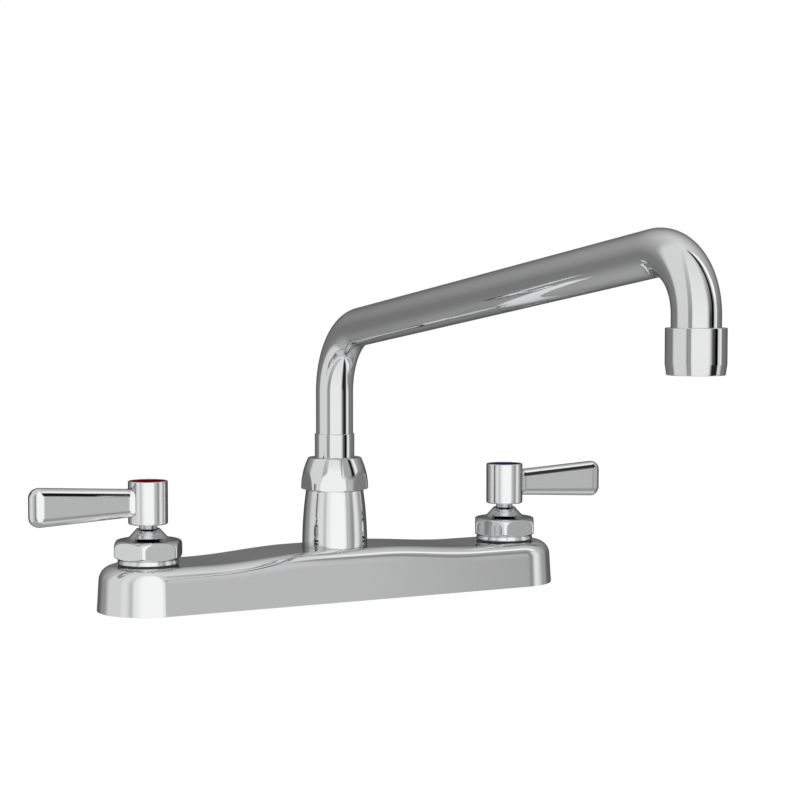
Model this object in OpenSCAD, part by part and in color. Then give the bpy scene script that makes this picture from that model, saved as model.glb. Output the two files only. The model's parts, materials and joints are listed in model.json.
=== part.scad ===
// Two-handle deck faucet with a swinging tube spout, in millimetres.
// The deck surface is z = 0 and +Z is up. The spout reaches toward -Y,
// the hot valve stands at -X and the cold valve at +X.

/* [Layout] */
// Distance between the two valve centres
valve_centres = 203.2; // [190:0.1:225]
// Horizontal reach of the spout, from the pillar axis to the outlet axis
spout_reach = 304.8; // [220:0.1:360]

/* [Deck body] */
// Distance from each valve axis to the rounded end of the body
body_overhang = 25.2; // [23:0.1:40]
// Width of the cast body at the deck
body_w = 50.6; // [48:0.2:60]
// Height of the top at the valves
seat_h = 22.3; // [21:0.1:28]
// Extra height of the top at the centre
hump_rise = 3.2; // [0:0.1:6]
// Half length of the level crown in the middle
crown_half = 17; // [5:0.5:30]
// Distance from the centre at which the rise has died out
rise_end = 76; // [50:0.5:84]
// Lean of the side walls from upright, in degrees
side_draft = 3.5; // [0:0.5:6]
// Radius of the rounded top edge
edge_r = 7.5; // [5:0.1:10]
// Thickness of the cast side walls
body_wall = 3.4; // [2.5:0.1:5]
// Thickness of the cast roof at the valves
body_roof = 3.6; // [3:0.1:5]

/* [Deck gasket] */
// Thickness of the foam plate under the body
gasket_t = 1.6; // [1:0.1:2.5]
// Width of the metal rim left outside the plate
rim_w = 1.9; // [1.5:0.1:2.3]

/* [Pillar] */
// Radius of the pillar at the foot
pillar_foot_r = 16.7; // [16:0.1:19]
// Radius of the pillar under the nut
pillar_top_r = 14.6; // [14.2:0.1:15.4]
// Height of the pillar above the crown of the body
pillar_h = 29.2; // [24:0.1:40]
// Radius of the thread that the nut turns on
pillar_thread_r = 13.4; // [13.2:0.1:13.7]
// Height of that thread above the pillar's shoulder
pillar_thread_h = 7.9; // [7:0.1:9]
// Radius of the spigot under the pillar, which is brazed into the body
spigot_r = 10; // [9:0.1:12]
// Depth of that spigot in the crown of the body
spigot_l = 5; // [4:0.1:5.4]
// Radius of the socket that the spout tail turns in
socket_r = 11.2; // [10.9:0.1:11.4]
// Depth of the socket
socket_depth = 21.4; // [19:0.1:24]

/* [Waterways] */
// Radius of the drilled waterways
waterway_r = 3.6; // [3:0.1:4]
// Metal around a waterway
waterway_wall = 2.6; // [2:0.1:3]
// Radius of the upright passage in the pillar
riser_bore_r = 6.5; // [5:0.1:7]

/* [Valve sockets] */
// Radius of the threaded inlet in the underside
inlet_r = 9.8; // [9:0.1:10.3]
// Depth of the inlet thread
inlet_depth = 8.6; // [7:0.1:9]
// Metal around the valve socket
boss_wall = 2.7; // [2.2:0.1:3.2]
// Thickness of the seat web above the inlet
seat_web = 2.4; // [1.8:0.1:2.8]
// Radius of the hole in the seat web
seat_hole_r = 4.4; // [3:0.1:5]
// Radius of the valve chamber
chamber_r = 9.6; // [9.2:0.1:9.8]
// Radius of the bonnet thread
bonnet_thread_r = 11.2; // [11:0.1:11.6]
// Length of the bonnet thread below the top of the body
bonnet_thread_h = 5.6; // [4.5:0.1:6]

/* [Bonnet] */
// Thickness of the fibre washer under the bonnet
washer_t = 0.8; // [0.5:0.1:1.5]
// Radius of the round foot of the bonnet
foot_r = 15.1; // [14.6:0.1:16]
// Height of the round foot
foot_h = 1.9; // [1:0.1:3]
// Across-corners radius of the hexagon
bonnet_hex_r = 18.05; // [17.5:0.05:20]
// Height of the lower chamfer of the hexagon
hex_chamfer_h = 1.9; // [1:0.1:2.5]
// Height of the upright hexagon sides
hex_side_h = 3.8; // [3.5:0.1:7]
// Height of the rounded shoulder above them
shoulder_h = 5.0; // [4.6:0.1:6]
// Radius at the bottom of the flared collar
collar_foot_r = 9.6; // [8:0.1:10.5]
// Radius at the top of the flared collar
collar_top_r = 5.7; // [5.2:0.1:6.5]
// Height of the flared collar
collar_h = 4.3; // [2:0.1:5]

/* [Cartridge] */
// Outer radius of the cartridge body
cartridge_r = 8.0; // [7.8:0.1:8.2]
// Radius of the disc chamber inside it
disc_bore_r = 6.6; // [6.4:0.1:6.8]
// Thickness of each ceramic disc
disc_t = 2.2; // [1.6:0.1:2.4]
// Thickness of the rubber seat seal
seat_seal_t = 2.0; // [1.5:0.1:2.2]
// Height of the side windows
window_h = 2.6; // [2:0.1:3]
// Radius of the valve stem
stem_r = 4.5; // [4.2:0.1:4.7]
// Radius of the splined end of the stem
spline_r = 3.9; // [3.5:0.1:4.1]
// Number of spline teeth
spline_teeth = 16; // [12:2:20]
// Depth of the spline teeth
spline_depth = 0.35; // [0.2:0.05:0.5]
// Thickness of the cord of a stem seal ring
stem_ring_d = 1.1; // [0.9:0.05:1.3]

/* [Handle] */
// Radius of the handle hub
hub_r = 9.7; // [9.4:0.1:11]
// Height of the handle hub
hub_h = 21.3; // [20:0.1:26]
// Length of stem that shows between bonnet and hub
stem_show = 2.1; // [1:0.1:5]
// Distance from the hub axis to the tip of the lever
lever_reach = 60.2; // [50:0.1:80]
// Height of the lever where it leaves the hub
lever_root_h = 13.7; // [10:0.1:16]
// Height of the lever at its wide end
lever_tip_h = 19.6; // [14:0.1:21]
// Thickness of the lever
lever_t = 8.8; // [6:0.1:11]
// Radius of the lever's rounded long edges
lever_edge_r = 3.2; // [1.5:0.1:4]
// Radius of the corners at the lever tip
lever_corner_r = 5.4; // [3:0.1:7]
// Radius of the coloured index button
button_r = 8.3; // [7:0.1:8.6]
// Thickness of the button's visible disc
button_t = 1.5; // [1:0.1:2]
// Radius of the handle screw thread
screw_r = 1.9; // [1.5:0.1:2.2]
// Radius of the handle screw head
screw_head_r = 3.7; // [3:0.1:4.2]
// Height of the handle screw head
screw_head_h = 2.4; // [2:0.1:2.8]

/* [Spout coupling] */
// Radius of the coupling nut's turned corners
nut_r = 17.2; // [17:0.1:19]
// Distance between opposite flats of the coupling nut
nut_flats = 32.0; // [31:0.1:34]
// Height of the coupling nut
nut_h = 16.1; // [15:0.1:20]
// How far the nut's domed top draws in from its corners
nut_dome = 3.4; // [2:0.1:4]
// Gap between the nut and the sleeve that passes through it
nut_gap = 1.0; // [0.5:0.1:1.2]
// Radius of the sleeve at the foot of the tube
sleeve_r = 10.15; // [10.1:0.05:10.8]
// Height of the sleeve above the nut
sleeve_h = 12.2; // [8:0.1:18]
// Thickness of the collar that holds the spout down
tail_flange_t = 2.4; // [1.8:0.1:3]
// Thickness of each plastic slip ring at that collar
slip_t = 0.5; // [0.3:0.05:0.8]
// Thickness of the cord of a spout seal ring
spout_ring_d = 1.2; // [1:0.05:1.5]

/* [Spout tube] */
// Outer diameter of the spout tube
tube_d = 19.05; // [18:0.05:19.5]
// Wall of the spout tube
tube_wall = 1.2; // [0.8:0.1:1.8]
// Straight length of tube above the sleeve
riser_len = 21.0; // [10:0.1:60]
// Centreline radius of the bend over the pillar
bend_r = 34.4; // [25:0.1:45]
// Slope of the long run above level, in degrees
run_rise = 7.43; // [0:0.01:15]
// Centreline radius of the bend over the outlet
outlet_bend_r = 23.7; // [18:0.1:32]
// Straight length of tube below the outlet bend
drop_len = 13.0; // [11:0.1:30]

/* [Outlet] */
// Radius of the aerator shell
shell_r = 11.65; // [11.6:0.05:12.5]
// Height of the aerator shell
shell_h = 17.8; // [16:0.1:20]
// Height of the tapered mouth of the shell
mouth_h = 4.2; // [2:0.1:5]
// How far the shell draws in at its mouth
mouth_taper = 0.6; // [0.2:0.1:0.8]
// Wall of the shell
shell_wall = 1.3; // [1.2:0.05:1.4]
// Thickness of the lip that holds the insert
lip_t = 1.5; // [1:0.1:2]
// Thickness of the rubber aerator washer
aerator_washer_t = 1.7; // [1.2:0.1:2]
// Thickness of the wire screen
screen_t = 0.5; // [0.3:0.1:0.8]

/* [Clearances] */
// Radial clearance of a turning fit
running = 0.05; // [0.02:0.01:0.09]
// Gap left between pieces that are pressed, brazed or screwed together
joint_gap = 0.03; // [0.01:0.01:0.05]

/* [Hidden] */
$fn = 96;
cut = 1;                 // extra length of a cutting tool past a face
embed = 0.5;             // how far one shape of a piece is sunk into the next
ring_play = 0.02;        // gap between a seal ring and the walls of its groove
groove_play = 0.4;       // a groove is this much wider than its ring
CHROME = [0.80, 0.81, 0.83];
CAST_BRASS = [0.72, 0.60, 0.34];
RUBBER = [0.08, 0.08, 0.09];
FIBRE = [0.10, 0.10, 0.11];
CERAMIC = [0.93, 0.93, 0.90];
ACETAL = [0.90, 0.90, 0.88];
STEEL = [0.62, 0.63, 0.65];
HOT_RED = [0.62, 0.05, 0.08];
COLD_BLUE = [0.08, 0.14, 0.55];

// Deck body
body_len = valve_centres + 2 * body_overhang;
half_w = body_w / 2;
spine_half = body_len / 2 - half_w;
valve_x = valve_centres / 2;
crown_z = seat_h + hump_rise;
end_steps = 16;          // outline points in a quarter of each round end
side_steps = 28;         // outline points along each long side
edge_steps = 7;          // levels in the rounded top edge
pocket_top = seat_h - body_roof;
pocket_neck_h = 5;       // the top of the pocket is narrower over this height
pocket_neck_inset = 2.8; // and draws in by this much, to clear the rounded edge
pocket_step = pocket_top - pocket_neck_h;
pocket_wall = body_wall + pocket_neck_inset;
rib_t = 2.5;
rib_z = 6;
rib_l = 2 * (half_w - body_wall + embed);
gasket_fit = 0.1;
insert_play = 0.1;       // radial play of pieces that drop into a bore

// Valve, from the chamber floor up
floor_z = inlet_depth + seat_web;
waterway_z = floor_z + waterway_r;
waterway_r_out = waterway_r + waterway_wall;
boss_r = max(bonnet_thread_r + running, inlet_r) + boss_wall;
fixed_z = floor_z + seat_seal_t + joint_gap;
moving_z = fixed_z + disc_t + running;
stem_z = moving_z + disc_t + joint_gap;
window_z = stem_z;
stem_flange_h = 3.0;
bearing_z = stem_z + stem_flange_h + running;

// Bonnet, from the top of the body up
washer_inset = 0.5;      // the washer's rim stands back from the foot by this much
washer_play = 0.3;
foot_z = seat_h + washer_t;
foot_draw = 0.4;         // the round foot draws in by this much to the hexagon
foot_edge = 0.5;
foot_neck_r = foot_r - foot_draw;
chamfer_z = foot_z + foot_h;
side_z = chamfer_z + hex_chamfer_h;
shoulder_z = side_z + hex_side_h;
collar_z = shoulder_z + shoulder_h;
bonnet_top = collar_z + collar_h;
corner_turn = 0.35;      // the corners of the hexagon are turned back by this much
turned_r = bonnet_hex_r - corner_turn;
shoulder_rise = 1.0;     // the shoulder climbs by this much from its round edge to the collar
shoulder_r = shoulder_h - shoulder_rise;
ceiling_drop = 0.4;      // the chamber's ceiling lies this far below the shoulder
bonnet_ceiling = shoulder_z - ceiling_drop;
cartridge_top = bonnet_ceiling - joint_gap;
tail_z = seat_h - bonnet_thread_h;
tail_relief = 0.4;       // the body's thread bore runs this much deeper than the tail
tail_bore_drop = 0.8;    // below this depth the tail stands clear of the cartridge
tail_bore_z = seat_h - tail_bore_drop;
window_w = 7;
disc_play = 0.1;
disc_r = disc_bore_r - disc_play;
port_r = 1.9;
port_x = 3.6;
tang_h = 1.2;
tang_l = 3.4;
tang_w = 2.6;
tang_play = 0.05;
cartridge_ring_d = 1.1;
cartridge_groove_r = cartridge_r + running - cartridge_ring_d;
cartridge_ring_lift = 3;
cartridge_ring_z = tail_bore_z + cartridge_ring_lift;
stem_groove_r = stem_r + running - stem_ring_d;
stem_ring_drop = 2.6;    // the stem's ring lies this far below the top of its bearing
ring_z = cartridge_top - stem_ring_drop;

// Handle, from the bonnet up
hub_z = bonnet_top + stem_show;
hub_top = hub_z + hub_h;
hub_edge = 1.0;
button_z = hub_top - button_t;
screw_room = 3.0;        // space above the screw head, up to the button's disc
head_seat_z = button_z - screw_head_h - screw_room;
hub_web = 2.8;
stem_end_gap = 0.3;
screw_hole = 9;          // depth of the tapped hole in the stem
screw_tip_gap = 1;       // the screw ends this far above the bottom of that hole
screw_head_edge = 0.8;
recess_l = 4.4;
recess_w = 1.0;
recess_h = 1.3;
screw_play = 0.2;
stub_h = 1.6;
spline_top = head_seat_z - hub_web;
spline_lead = 1.3;       // plain bore below the splines
spline_z = hub_z + spline_lead;
lever_lift = 0.2;        // the lever stands this much above the middle of the hub
lever_z = hub_z + hub_h / 2 + lever_lift;
button_stub_r = 5.1;
pocket_r = button_stub_r + insert_play;
button_edge = 0.3;
button_bevel = 0.5;
button_crown = 0.05;     // the button's face stands this far above its edge and the hub
lever_flare = 0.9;       // the lever swells by this much where it meets the hub
lever_flare_l = 3;       // length of that swelling outside the hub
lever_sink = 3;          // the lever's loft starts this far inside the hub
lever_root_steps = 7;
lever_run_steps = 6;
lever_tip_steps = 9;
lever_tip_turn = 88;     // degrees of the tip's rounding that the loft covers
hair = 0.01;

// Coupling, from the pillar shoulder up
nut_z = crown_z + pillar_h;
thread_top = nut_z + pillar_thread_h;
socket_z = thread_top - socket_depth;
flange_z = thread_top + slip_t + 2 * running;
upper_slip_z = flange_z + tail_flange_t + running;
nut_lip_z = upper_slip_z + slip_t + joint_gap;
nut_top = nut_z + nut_h;
nut_bore_r = pillar_thread_r + running;
tail_r = socket_r - running;
thread_lead = 0.5;       // bevel at the start of the pillar's thread
tail_gap = 0.5;          // space under the tail in its socket
tail_groove_r = socket_r - spout_ring_d;
tail_ring_lift = 6;      // height of the lower ring above the socket's floor
tail_ring_pitch = 6;
tail_ring_z = [socket_z + tail_ring_lift, socket_z + tail_ring_lift + tail_ring_pitch];
nut_edge = 0.5;
sleeve_edge = 0.5;
flange_play = 0.4;       // radial space round the collar inside the nut
slip_play = 0.25;        // radial space at the rims of a slip ring
tail_flange_r = pillar_thread_r - flange_play;
tube_stop = 2.3;         // radial width of the step that the tube stands on
foot_lift = 0.6;         // height of that step above the collar
tail_bore_r = tube_d / 2 - tube_stop;
tube_foot_z = flange_z + tail_flange_t + foot_lift;
sleeve_top = nut_top + sleeve_h;

// Spout centreline in its own upright plane: [distance out, height]
tube_r = tube_d / 2;
tube_sides = 30;         // facets round the tube
tube_turn = 6;           // degrees of bend between two rings of the tube, at most
bend_z = sleeve_top + riser_len;
bend_sweep = 90 - run_rise;
run_start_x = bend_r * (1 - sin(run_rise));
run_end_x = spout_reach - outlet_bend_r * (1 + sin(run_rise));
drop_z = bend_z + (bend_r - outlet_bend_r) * cos(run_rise) + (run_end_x - run_start_x) * tan(run_rise);
tube_end_z = drop_z - drop_len;
first_bend = ceil(bend_sweep / tube_turn);
second_bend = ceil((90 + run_rise) / tube_turn);
// Stations from the foot to the outlet: [distance out, height, heading above level]
spout_path = concat(
    [[0, tube_foot_z + joint_gap, 90]],
    [for (i = [0 : first_bend]) let (a = 180 - bend_sweep * i / first_bend)
        [bend_r * (1 + cos(a)), bend_z + bend_r * sin(a), a - 90]],
    [for (i = [0 : second_bend]) let (a = (90 + run_rise) * (1 - i / second_bend))
        [spout_reach - outlet_bend_r * (1 - cos(a)), drop_z + outlet_bend_r * sin(a), a - 90]],
    [[spout_reach, tube_end_z, -90]]);

// Outlet, from the tube end
adapter_stop = 2.4;      // the adapter reaches this far below the tube
adapter_z = tube_end_z - adapter_stop;
shell_bore_r = shell_r - shell_wall;
adapter_r = shell_bore_r - joint_gap;
washer_z = adapter_z - aerator_washer_t - joint_gap;
screen_z = washer_z - screen_t - joint_gap;
shell_drop = 9.5;        // and the shell's mouth this far
shell_z = tube_end_z - shell_drop;
shell_top = shell_z + shell_h;
lip_w = 1.2;
lip_r = shell_bore_r - lip_w;
shell_bevel = 0.3;
slot_in = 1.2;           // inner radius of the innermost slot
slot_edge = 0.4;         // solid rim left inside the lip
adapter_sink = 0.5;      // the adapter stops this far below the shell's top
screen_pitch = 2.6;
screen_hole_r = 0.6;
former_wall = 0.8;
insert_z = shell_z + lip_t + joint_gap;
insert_top = screen_z - joint_gap;
insert_r = shell_bore_r - insert_play;

function clamp(v, lo, hi) = min(max(v, lo), hi);

// Points on an arc about c, from angle a0 to a1 in n steps
function arc(c, r, a0, a1, n) =
    [for (i = [0 : n]) let (a = a0 + (a1 - a0) * i / n) c + r * [cos(a), sin(a)]];

// Height of the body's top above the deck at x
function top_z(x) = seat_h + hump_rise
    * (1 + cos(180 * clamp((abs(x) - crown_half) / (rise_end - crown_half), 0, 1))) / 2;

// Stations along the front edge, from the -X tip to the +X tip: [spine x, direction]
stations = concat(
    [for (i = [0 : end_steps - 1]) [-spine_half, 180 + 90 * i / end_steps]],
    [for (i = [0 : side_steps]) [spine_half * (2 * i / side_steps - 1), 270]],
    [for (i = [1 : end_steps]) [spine_half, 270 + 90 * i / end_steps]]);
last_station = len(stations) - 1;

// [distance from the spine, height] of level k at spine position x
function body_level(k, x) = k == 0 ? [half_w, 0] :
    let (a = side_draft + (90 - side_draft) * (k - 1) / edge_steps,
         zc = top_z(x) - edge_r,
         rc = half_w - (zc + edge_r * sin(side_draft)) * tan(side_draft)
              - edge_r * cos(side_draft))
    [rc + edge_r * cos(a), zc + edge_r * sin(a)];

// The front half of the outline at level k, then the back half returning
function body_ring(k) = concat(
    [for (i = [0 : last_station]) let (s = stations[i], v = body_level(k, s[0]))
        [s[0] + v[0] * cos(s[1]), v[0] * sin(s[1]), v[1]]],
    [for (i = [last_station - 1 : -1 : 1]) let (s = stations[i], v = body_level(k, s[0]))
        [s[0] + v[0] * cos(s[1]), -v[0] * sin(s[1]), v[1]]]);

// A triangle whose three corners are different points
function is_face(t) = t[0] != t[1] && t[1] != t[2] && t[2] != t[0];

// Solid cast block: drafted sides, rounded top edge and a top that swells to the centre
module body_block() {
    top = edge_steps + 1;
    n = 2 * last_station;
    points = [for (k = [0 : top]) each body_ring(k)];
    sides = [for (k = [0 : top - 1], i = [0 : n - 1])
        let (j = (i + 1) % n, a = k * n, b = a + n)
        each [[a + i, b + j, a + j], [a + i, b + i, b + j]]];
    // Strips across the top and the bottom join each front point to its partner behind
    strips = [for (i = [0 : last_station - 1])
        let (f = i, g = i + 1, p = (n - i) % n, q = n - i - 1, u = top * n)
        each [[u + f, u + q, u + g], [u + f, u + p, u + q], [f, g, q], [f, q, p]]];
    polyhedron(points, concat(sides, [for (t = strips) if (is_face(t)) t]));
}

// Stadium outline, inset from the body's outline at the deck
module stadium(inset) {
    square([2 * spine_half, 2 * (half_w - inset)], center = true);
    for (s = [-1, 1]) translate([s * spine_half, 0]) circle(half_w - inset);
}

module at_valves() {
    for (s = [-1, 1]) translate([s * valve_x, 0, 0]) children();
}

// Upright cylinder between two heights
module post(r, z0, z1) {
    translate([0, 0, z0]) cylinder(r = r, h = z1 - z0);
}

// Hollow underside of the casting, in two steps so that the wall stays even
module underside_pocket() {
    translate([0, 0, -cut]) linear_extrude(gasket_t + joint_gap + cut) stadium(rim_w);
    translate([0, 0, -cut]) linear_extrude(pocket_step + cut) stadium(body_wall);
    linear_extrude(pocket_top) stadium(pocket_wall);
}

// Bosses, the waterway pipe and two stiffening ribs inside the underside
module underside_castings() {
    at_valves() post(boss_r, 0, pocket_top + embed);
    translate([0, 0, waterway_z]) rotate([0, 90, 0])
        cylinder(r = waterway_r_out, h = valve_centres, center = true);
    post(riser_bore_r + waterway_wall, waterway_z - waterway_r_out, pocket_top + embed);
    for (s = [-1, 1]) translate([s * valve_x / 2 - rib_t / 2, -rib_l / 2, rib_z])
        cube([rib_t, rib_l, pocket_top + embed - rib_z]);
}

// Every bore that is drilled or tapped in the casting
module body_bores() {
    at_valves() {
        post(inlet_r, -cut, inlet_depth);
        post(seat_hole_r, inlet_depth - cut, floor_z + cut);
        post(chamber_r, floor_z, seat_h + cut);
        post(bonnet_thread_r + running, tail_z - tail_relief, seat_h + cut);
    }
    translate([0, 0, waterway_z]) rotate([0, 90, 0])
        cylinder(r = waterway_r, h = valve_centres, center = true);
    post(riser_bore_r, waterway_z - waterway_r, crown_z + cut);
    post(spigot_r + joint_gap, crown_z - spigot_l - joint_gap, crown_z + cut);
}

module deck_body() {
    color(CHROME) difference() {
        union() {
            difference() {
                body_block();
                underside_pocket();
            }
            underside_castings();
        }
        body_bores();
    }
}

// Turned pillar that swells toward its foot, with a spigot brazed into the crown of the
// body below and the nut's thread above
module spout_pillar() {
    steps = 10;
    swell = [for (i = [0 : steps]) let (t = i / steps)
        [pillar_foot_r - (pillar_foot_r - pillar_top_r) * t * t, crown_z + pillar_h * t]];
    color(CHROME) difference() {
        rotate_extrude() polygon(concat(
            [[0, crown_z - spigot_l], [spigot_r, crown_z - spigot_l], [spigot_r, crown_z]],
            swell,
            [[pillar_thread_r, nut_z], [pillar_thread_r, thread_top - thread_lead],
             [pillar_thread_r - thread_lead, thread_top], [0, thread_top]]));
        post(riser_bore_r, crown_z - spigot_l - cut, socket_z + cut);
        post(socket_r, socket_z, thread_top + cut);
    }
}

module deck_gasket() {
    color(RUBBER) linear_extrude(gasket_t) difference() {
        stadium(rim_w + gasket_fit);
        for (s = [-1, 1]) translate([s * valve_x, 0]) circle(boss_r + gasket_fit);
    }
}

// Fibre ring between the bonnet and the seat on the body
module bonnet_washer() {
    color(FIBRE) difference() {
        post(foot_r - washer_inset, seat_h, foot_z);
        post(bonnet_thread_r + washer_play, seat_h - cut, foot_z + cut);
    }
}

// Hexagonal bonnet: round foot, turned corners, rounded shoulder and flared collar
module bonnet() {
    shoulder_steps = 8;
    envelope = concat(
        [[0, chamfer_z], [foot_neck_r, chamfer_z], [turned_r, side_z]],
        arc([turned_r - shoulder_r, shoulder_z], shoulder_r, 0, 90, shoulder_steps),
        [[collar_foot_r, collar_z], [0, collar_z]]);
    flare_steps = 6;
    flare_power = 1.1;               // 1 would be a plain cone
    flare = [for (i = [0 : flare_steps]) let (t = i / flare_steps)
        [collar_top_r + (collar_foot_r - collar_top_r) * pow(1 - t, flare_power),
         collar_z + collar_h * t]];
    color(CHROME) difference() {
        union() {
            post(bonnet_thread_r, tail_z, foot_z + embed);
            rotate_extrude() polygon([[0, foot_z], [foot_r, foot_z], [foot_r, foot_z + foot_edge],
                [foot_neck_r, chamfer_z], [foot_neck_r, chamfer_z + embed], [0, chamfer_z + embed]]);
            intersection() {
                translate([0, 0, chamfer_z])
                    cylinder(r = bonnet_hex_r, h = collar_z - chamfer_z, $fn = 6);
                rotate_extrude() polygon(envelope);
            }
            rotate_extrude() polygon(concat([[0, collar_z - embed], [collar_foot_r, collar_z - embed]],
                flare, [[0, bonnet_top]]));
        }
        post(chamber_r, tail_z - cut, tail_bore_z);
        post(cartridge_r + running, tail_z - cut, bonnet_ceiling);
        post(stem_r + running, bonnet_ceiling - cut, bonnet_top + cut);
    }
}

// Torus of cord radius cord_r round a centreline of radius ring_r at height z
module seal_ring(ring_r, cord_r, z) {
    color(RUBBER) translate([0, 0, z]) rotate_extrude() translate([ring_r, 0]) circle(cord_r, $fn = 24);
}

// Annular groove cut from the outside, centred on height z
module ring_groove(outer_r, inner_r, cord_d, z) {
    h = cord_d + groove_play;
    difference() {
        post(outer_r + cut, z - h / 2, z + h / 2);
        post(inner_r, z - h, z + h);
    }
}

// Brass cartridge shell: disc chamber with two windows, and the stem's bearing above it
module cartridge_body() {
    color(CAST_BRASS) difference() {
        post(cartridge_r, floor_z + joint_gap, cartridge_top);
        post(disc_bore_r, floor_z - cut, bearing_z);
        post(stem_r + running, bearing_z - cut, cartridge_top + cut);
        translate([-cartridge_r - cut, -window_w / 2, window_z])
            cube([2 * (cartridge_r + cut), window_w, window_h]);
        ring_groove(cartridge_r, cartridge_groove_r, cartridge_ring_d, cartridge_ring_z);
    }
}

module cartridge_o_ring() {
    seal_ring(cartridge_groove_r + cartridge_ring_d / 2, cartridge_ring_d / 2 - ring_play,
        cartridge_ring_z);
}

module seat_seal() {
    color(RUBBER) difference() {
        post(disc_r, floor_z, floor_z + seat_seal_t);
        post(seat_hole_r, floor_z - cut, floor_z + seat_seal_t + cut);
    }
}

// Ceramic disc with two round ports, at the given angle
module ported_disc(z, angle) {
    difference() {
        post(disc_r, z, z + disc_t);
        rotate(angle) for (s = [-1, 1]) translate([s * port_x, 0, 0])
            post(port_r, z - cut, z + disc_t + cut);
    }
}

module fixed_disc() {
    color(CERAMIC) ported_disc(fixed_z, 0);
}

// Turning disc: its ports lie across the fixed ones when the valve is shut
module moving_disc() {
    color(CERAMIC) difference() {
        ported_disc(moving_z, 90);
        translate([0, 0, moving_z + disc_t - tang_h - joint_gap])
            linear_extrude(tang_h + cut)
                square([tang_l + 2 * tang_play, tang_w + 2 * tang_play], center = true);
    }
}

// Toothed outline of the splined end, grown by play
module spline_outline(play) {
    polygon([for (i = [0 : 2 * spline_teeth - 1])
        let (r = spline_r + play - (i % 2) * spline_depth, a = 180 * i / spline_teeth)
        r * [cos(a), sin(a)]]);
}

module stem() {
    color(STEEL) difference() {
        union() {
            translate([0, 0, moving_z + disc_t - tang_h])
                linear_extrude(tang_h + joint_gap + embed) square([tang_l, tang_w], center = true);
            difference() {
                post(disc_r, stem_z, stem_z + stem_flange_h);
                // Water leaves the ports through these two cuts
                for (s = [-1, 1]) translate([-port_r, s * (tang_w / 2 + port_r) - port_r, stem_z - cut])
                    cube([2 * port_r, 2 * port_r, window_h + cut]);
            }
            post(stem_r, stem_z + stem_flange_h - embed, spline_z - 2 * joint_gap);
            translate([0, 0, spline_z - cut])
                linear_extrude(spline_top - spline_z + cut) spline_outline(0);
        }
        ring_groove(stem_r, stem_groove_r, stem_ring_d, ring_z);
        post(screw_r + joint_gap, spline_top - screw_hole, spline_top + cut);
    }
}

module stem_o_ring() {
    seal_ring(stem_groove_r + stem_ring_d / 2, stem_ring_d / 2 - ring_play, ring_z);
}

// Half height, half thickness of the lever at distance x from the hub axis
function lever_half(x) =
    let (t = (x - hub_r) / (lever_reach - hub_r),
         tip = clamp((x - lever_reach + lever_corner_r) / lever_corner_r, 0, 1),
         edge = clamp((x - lever_reach + lever_edge_r) / lever_edge_r, 0, 1),
         flare = lever_flare * pow(clamp((hub_r + lever_flare_l - x) / (2 * lever_flare_l), 0, 1), 2))
    [(lever_root_h + (lever_tip_h - lever_root_h) * t) / 2 + flare
         - lever_corner_r * (1 - sqrt(1 - tip * tip)),
     lever_t / 2 + flare - lever_edge_r * (1 - sqrt(1 - edge * edge))];

// Rounded rectangle section of the lever at x, as points round the +X direction
function lever_section(x, steps) =
    let (h = lever_half(x), r = min(lever_edge_r, h[0] - hair, h[1] - hair))
    [for (c = [0 : 3], i = [0 : steps])
        let (a = 90 * (c + i / steps), sy = c == 0 || c == 3 ? 1 : -1, sz = c < 2 ? 1 : -1)
        [x, sy * (h[1] - r) + r * cos(a), lever_z + sz * (h[0] - r) + r * sin(a)]];

// Paddle lever, lofted through its sections from inside the hub to the tip
module lever() {
    arc_steps = 5;
    n = 4 * (arc_steps + 1);
    near = hub_r - lever_sink;
    root_end = hub_r + lever_flare_l;
    tip_start = lever_reach - lever_corner_r;
    root = [for (i = [0 : lever_root_steps]) near + (root_end - near) * i / lever_root_steps];
    run = [for (i = [1 : lever_run_steps]) root_end + (tip_start - root_end) * i / lever_run_steps];
    tip = [for (i = [1 : lever_tip_steps])
        tip_start + lever_corner_r * sin(lever_tip_turn * i / lever_tip_steps)];
    xs = concat(root, run, tip);
    m = len(xs);
    points = [for (x = xs) each lever_section(x, arc_steps)];
    sides = [for (k = [0 : m - 2], i = [0 : n - 1])
        let (j = (i + 1) % n, a = k * n, b = a + n)
        each [[a + i, b + i, b + j], [a + i, b + j, a + j]]];
    ends = [[for (i = [n - 1 : -1 : 0]) i], [for (i = [0 : n - 1]) (m - 1) * n + i]];
    polyhedron(points, concat(sides, ends));
}

// Round hub with softened edges
module hub() {
    rotate_extrude() polygon(concat(
        [[0, hub_z]],
        arc([hub_r - hub_edge, hub_z + hub_edge], hub_edge, -90, 0, 4),
        arc([hub_r - hub_edge / 2, hub_top - hub_edge / 2], hub_edge / 2, 0, 90, 3),
        [[0, hub_top]]));
}

module handle() {
    color(CHROME) difference() {
        union() {
            hub();
            lever();
        }
        post(stem_r + running, hub_z - cut, spline_z);
        translate([0, 0, spline_z - cut])
            linear_extrude(spline_top + stem_end_gap - spline_z + cut) spline_outline(2 * joint_gap);
        post(screw_r + screw_play, spline_top, head_seat_z + cut);
        post(pocket_r, head_seat_z, hub_top + cut);
        post(button_r + joint_gap, button_z, hub_top + cut);
    }
}

// Cross-recessed screw that holds the handle on the stem
module handle_screw() {
    head_top = head_seat_z + screw_head_h;
    color(STEEL) difference() {
        union() {
            post(screw_r, spline_top - screw_hole + screw_tip_gap, head_seat_z + embed);
            rotate_extrude() polygon(concat([[0, head_seat_z], [screw_head_r, head_seat_z]],
                arc([screw_head_r - screw_head_edge, head_top - screw_head_edge],
                    screw_head_edge, 0, 90, 4),
                [[0, head_top]]));
        }
        for (a = [0, 90]) rotate(a) translate([-recess_l / 2, -recess_w / 2, head_top - recess_h])
            cube([recess_l, recess_w, recess_h + cut]);
    }
}

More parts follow.
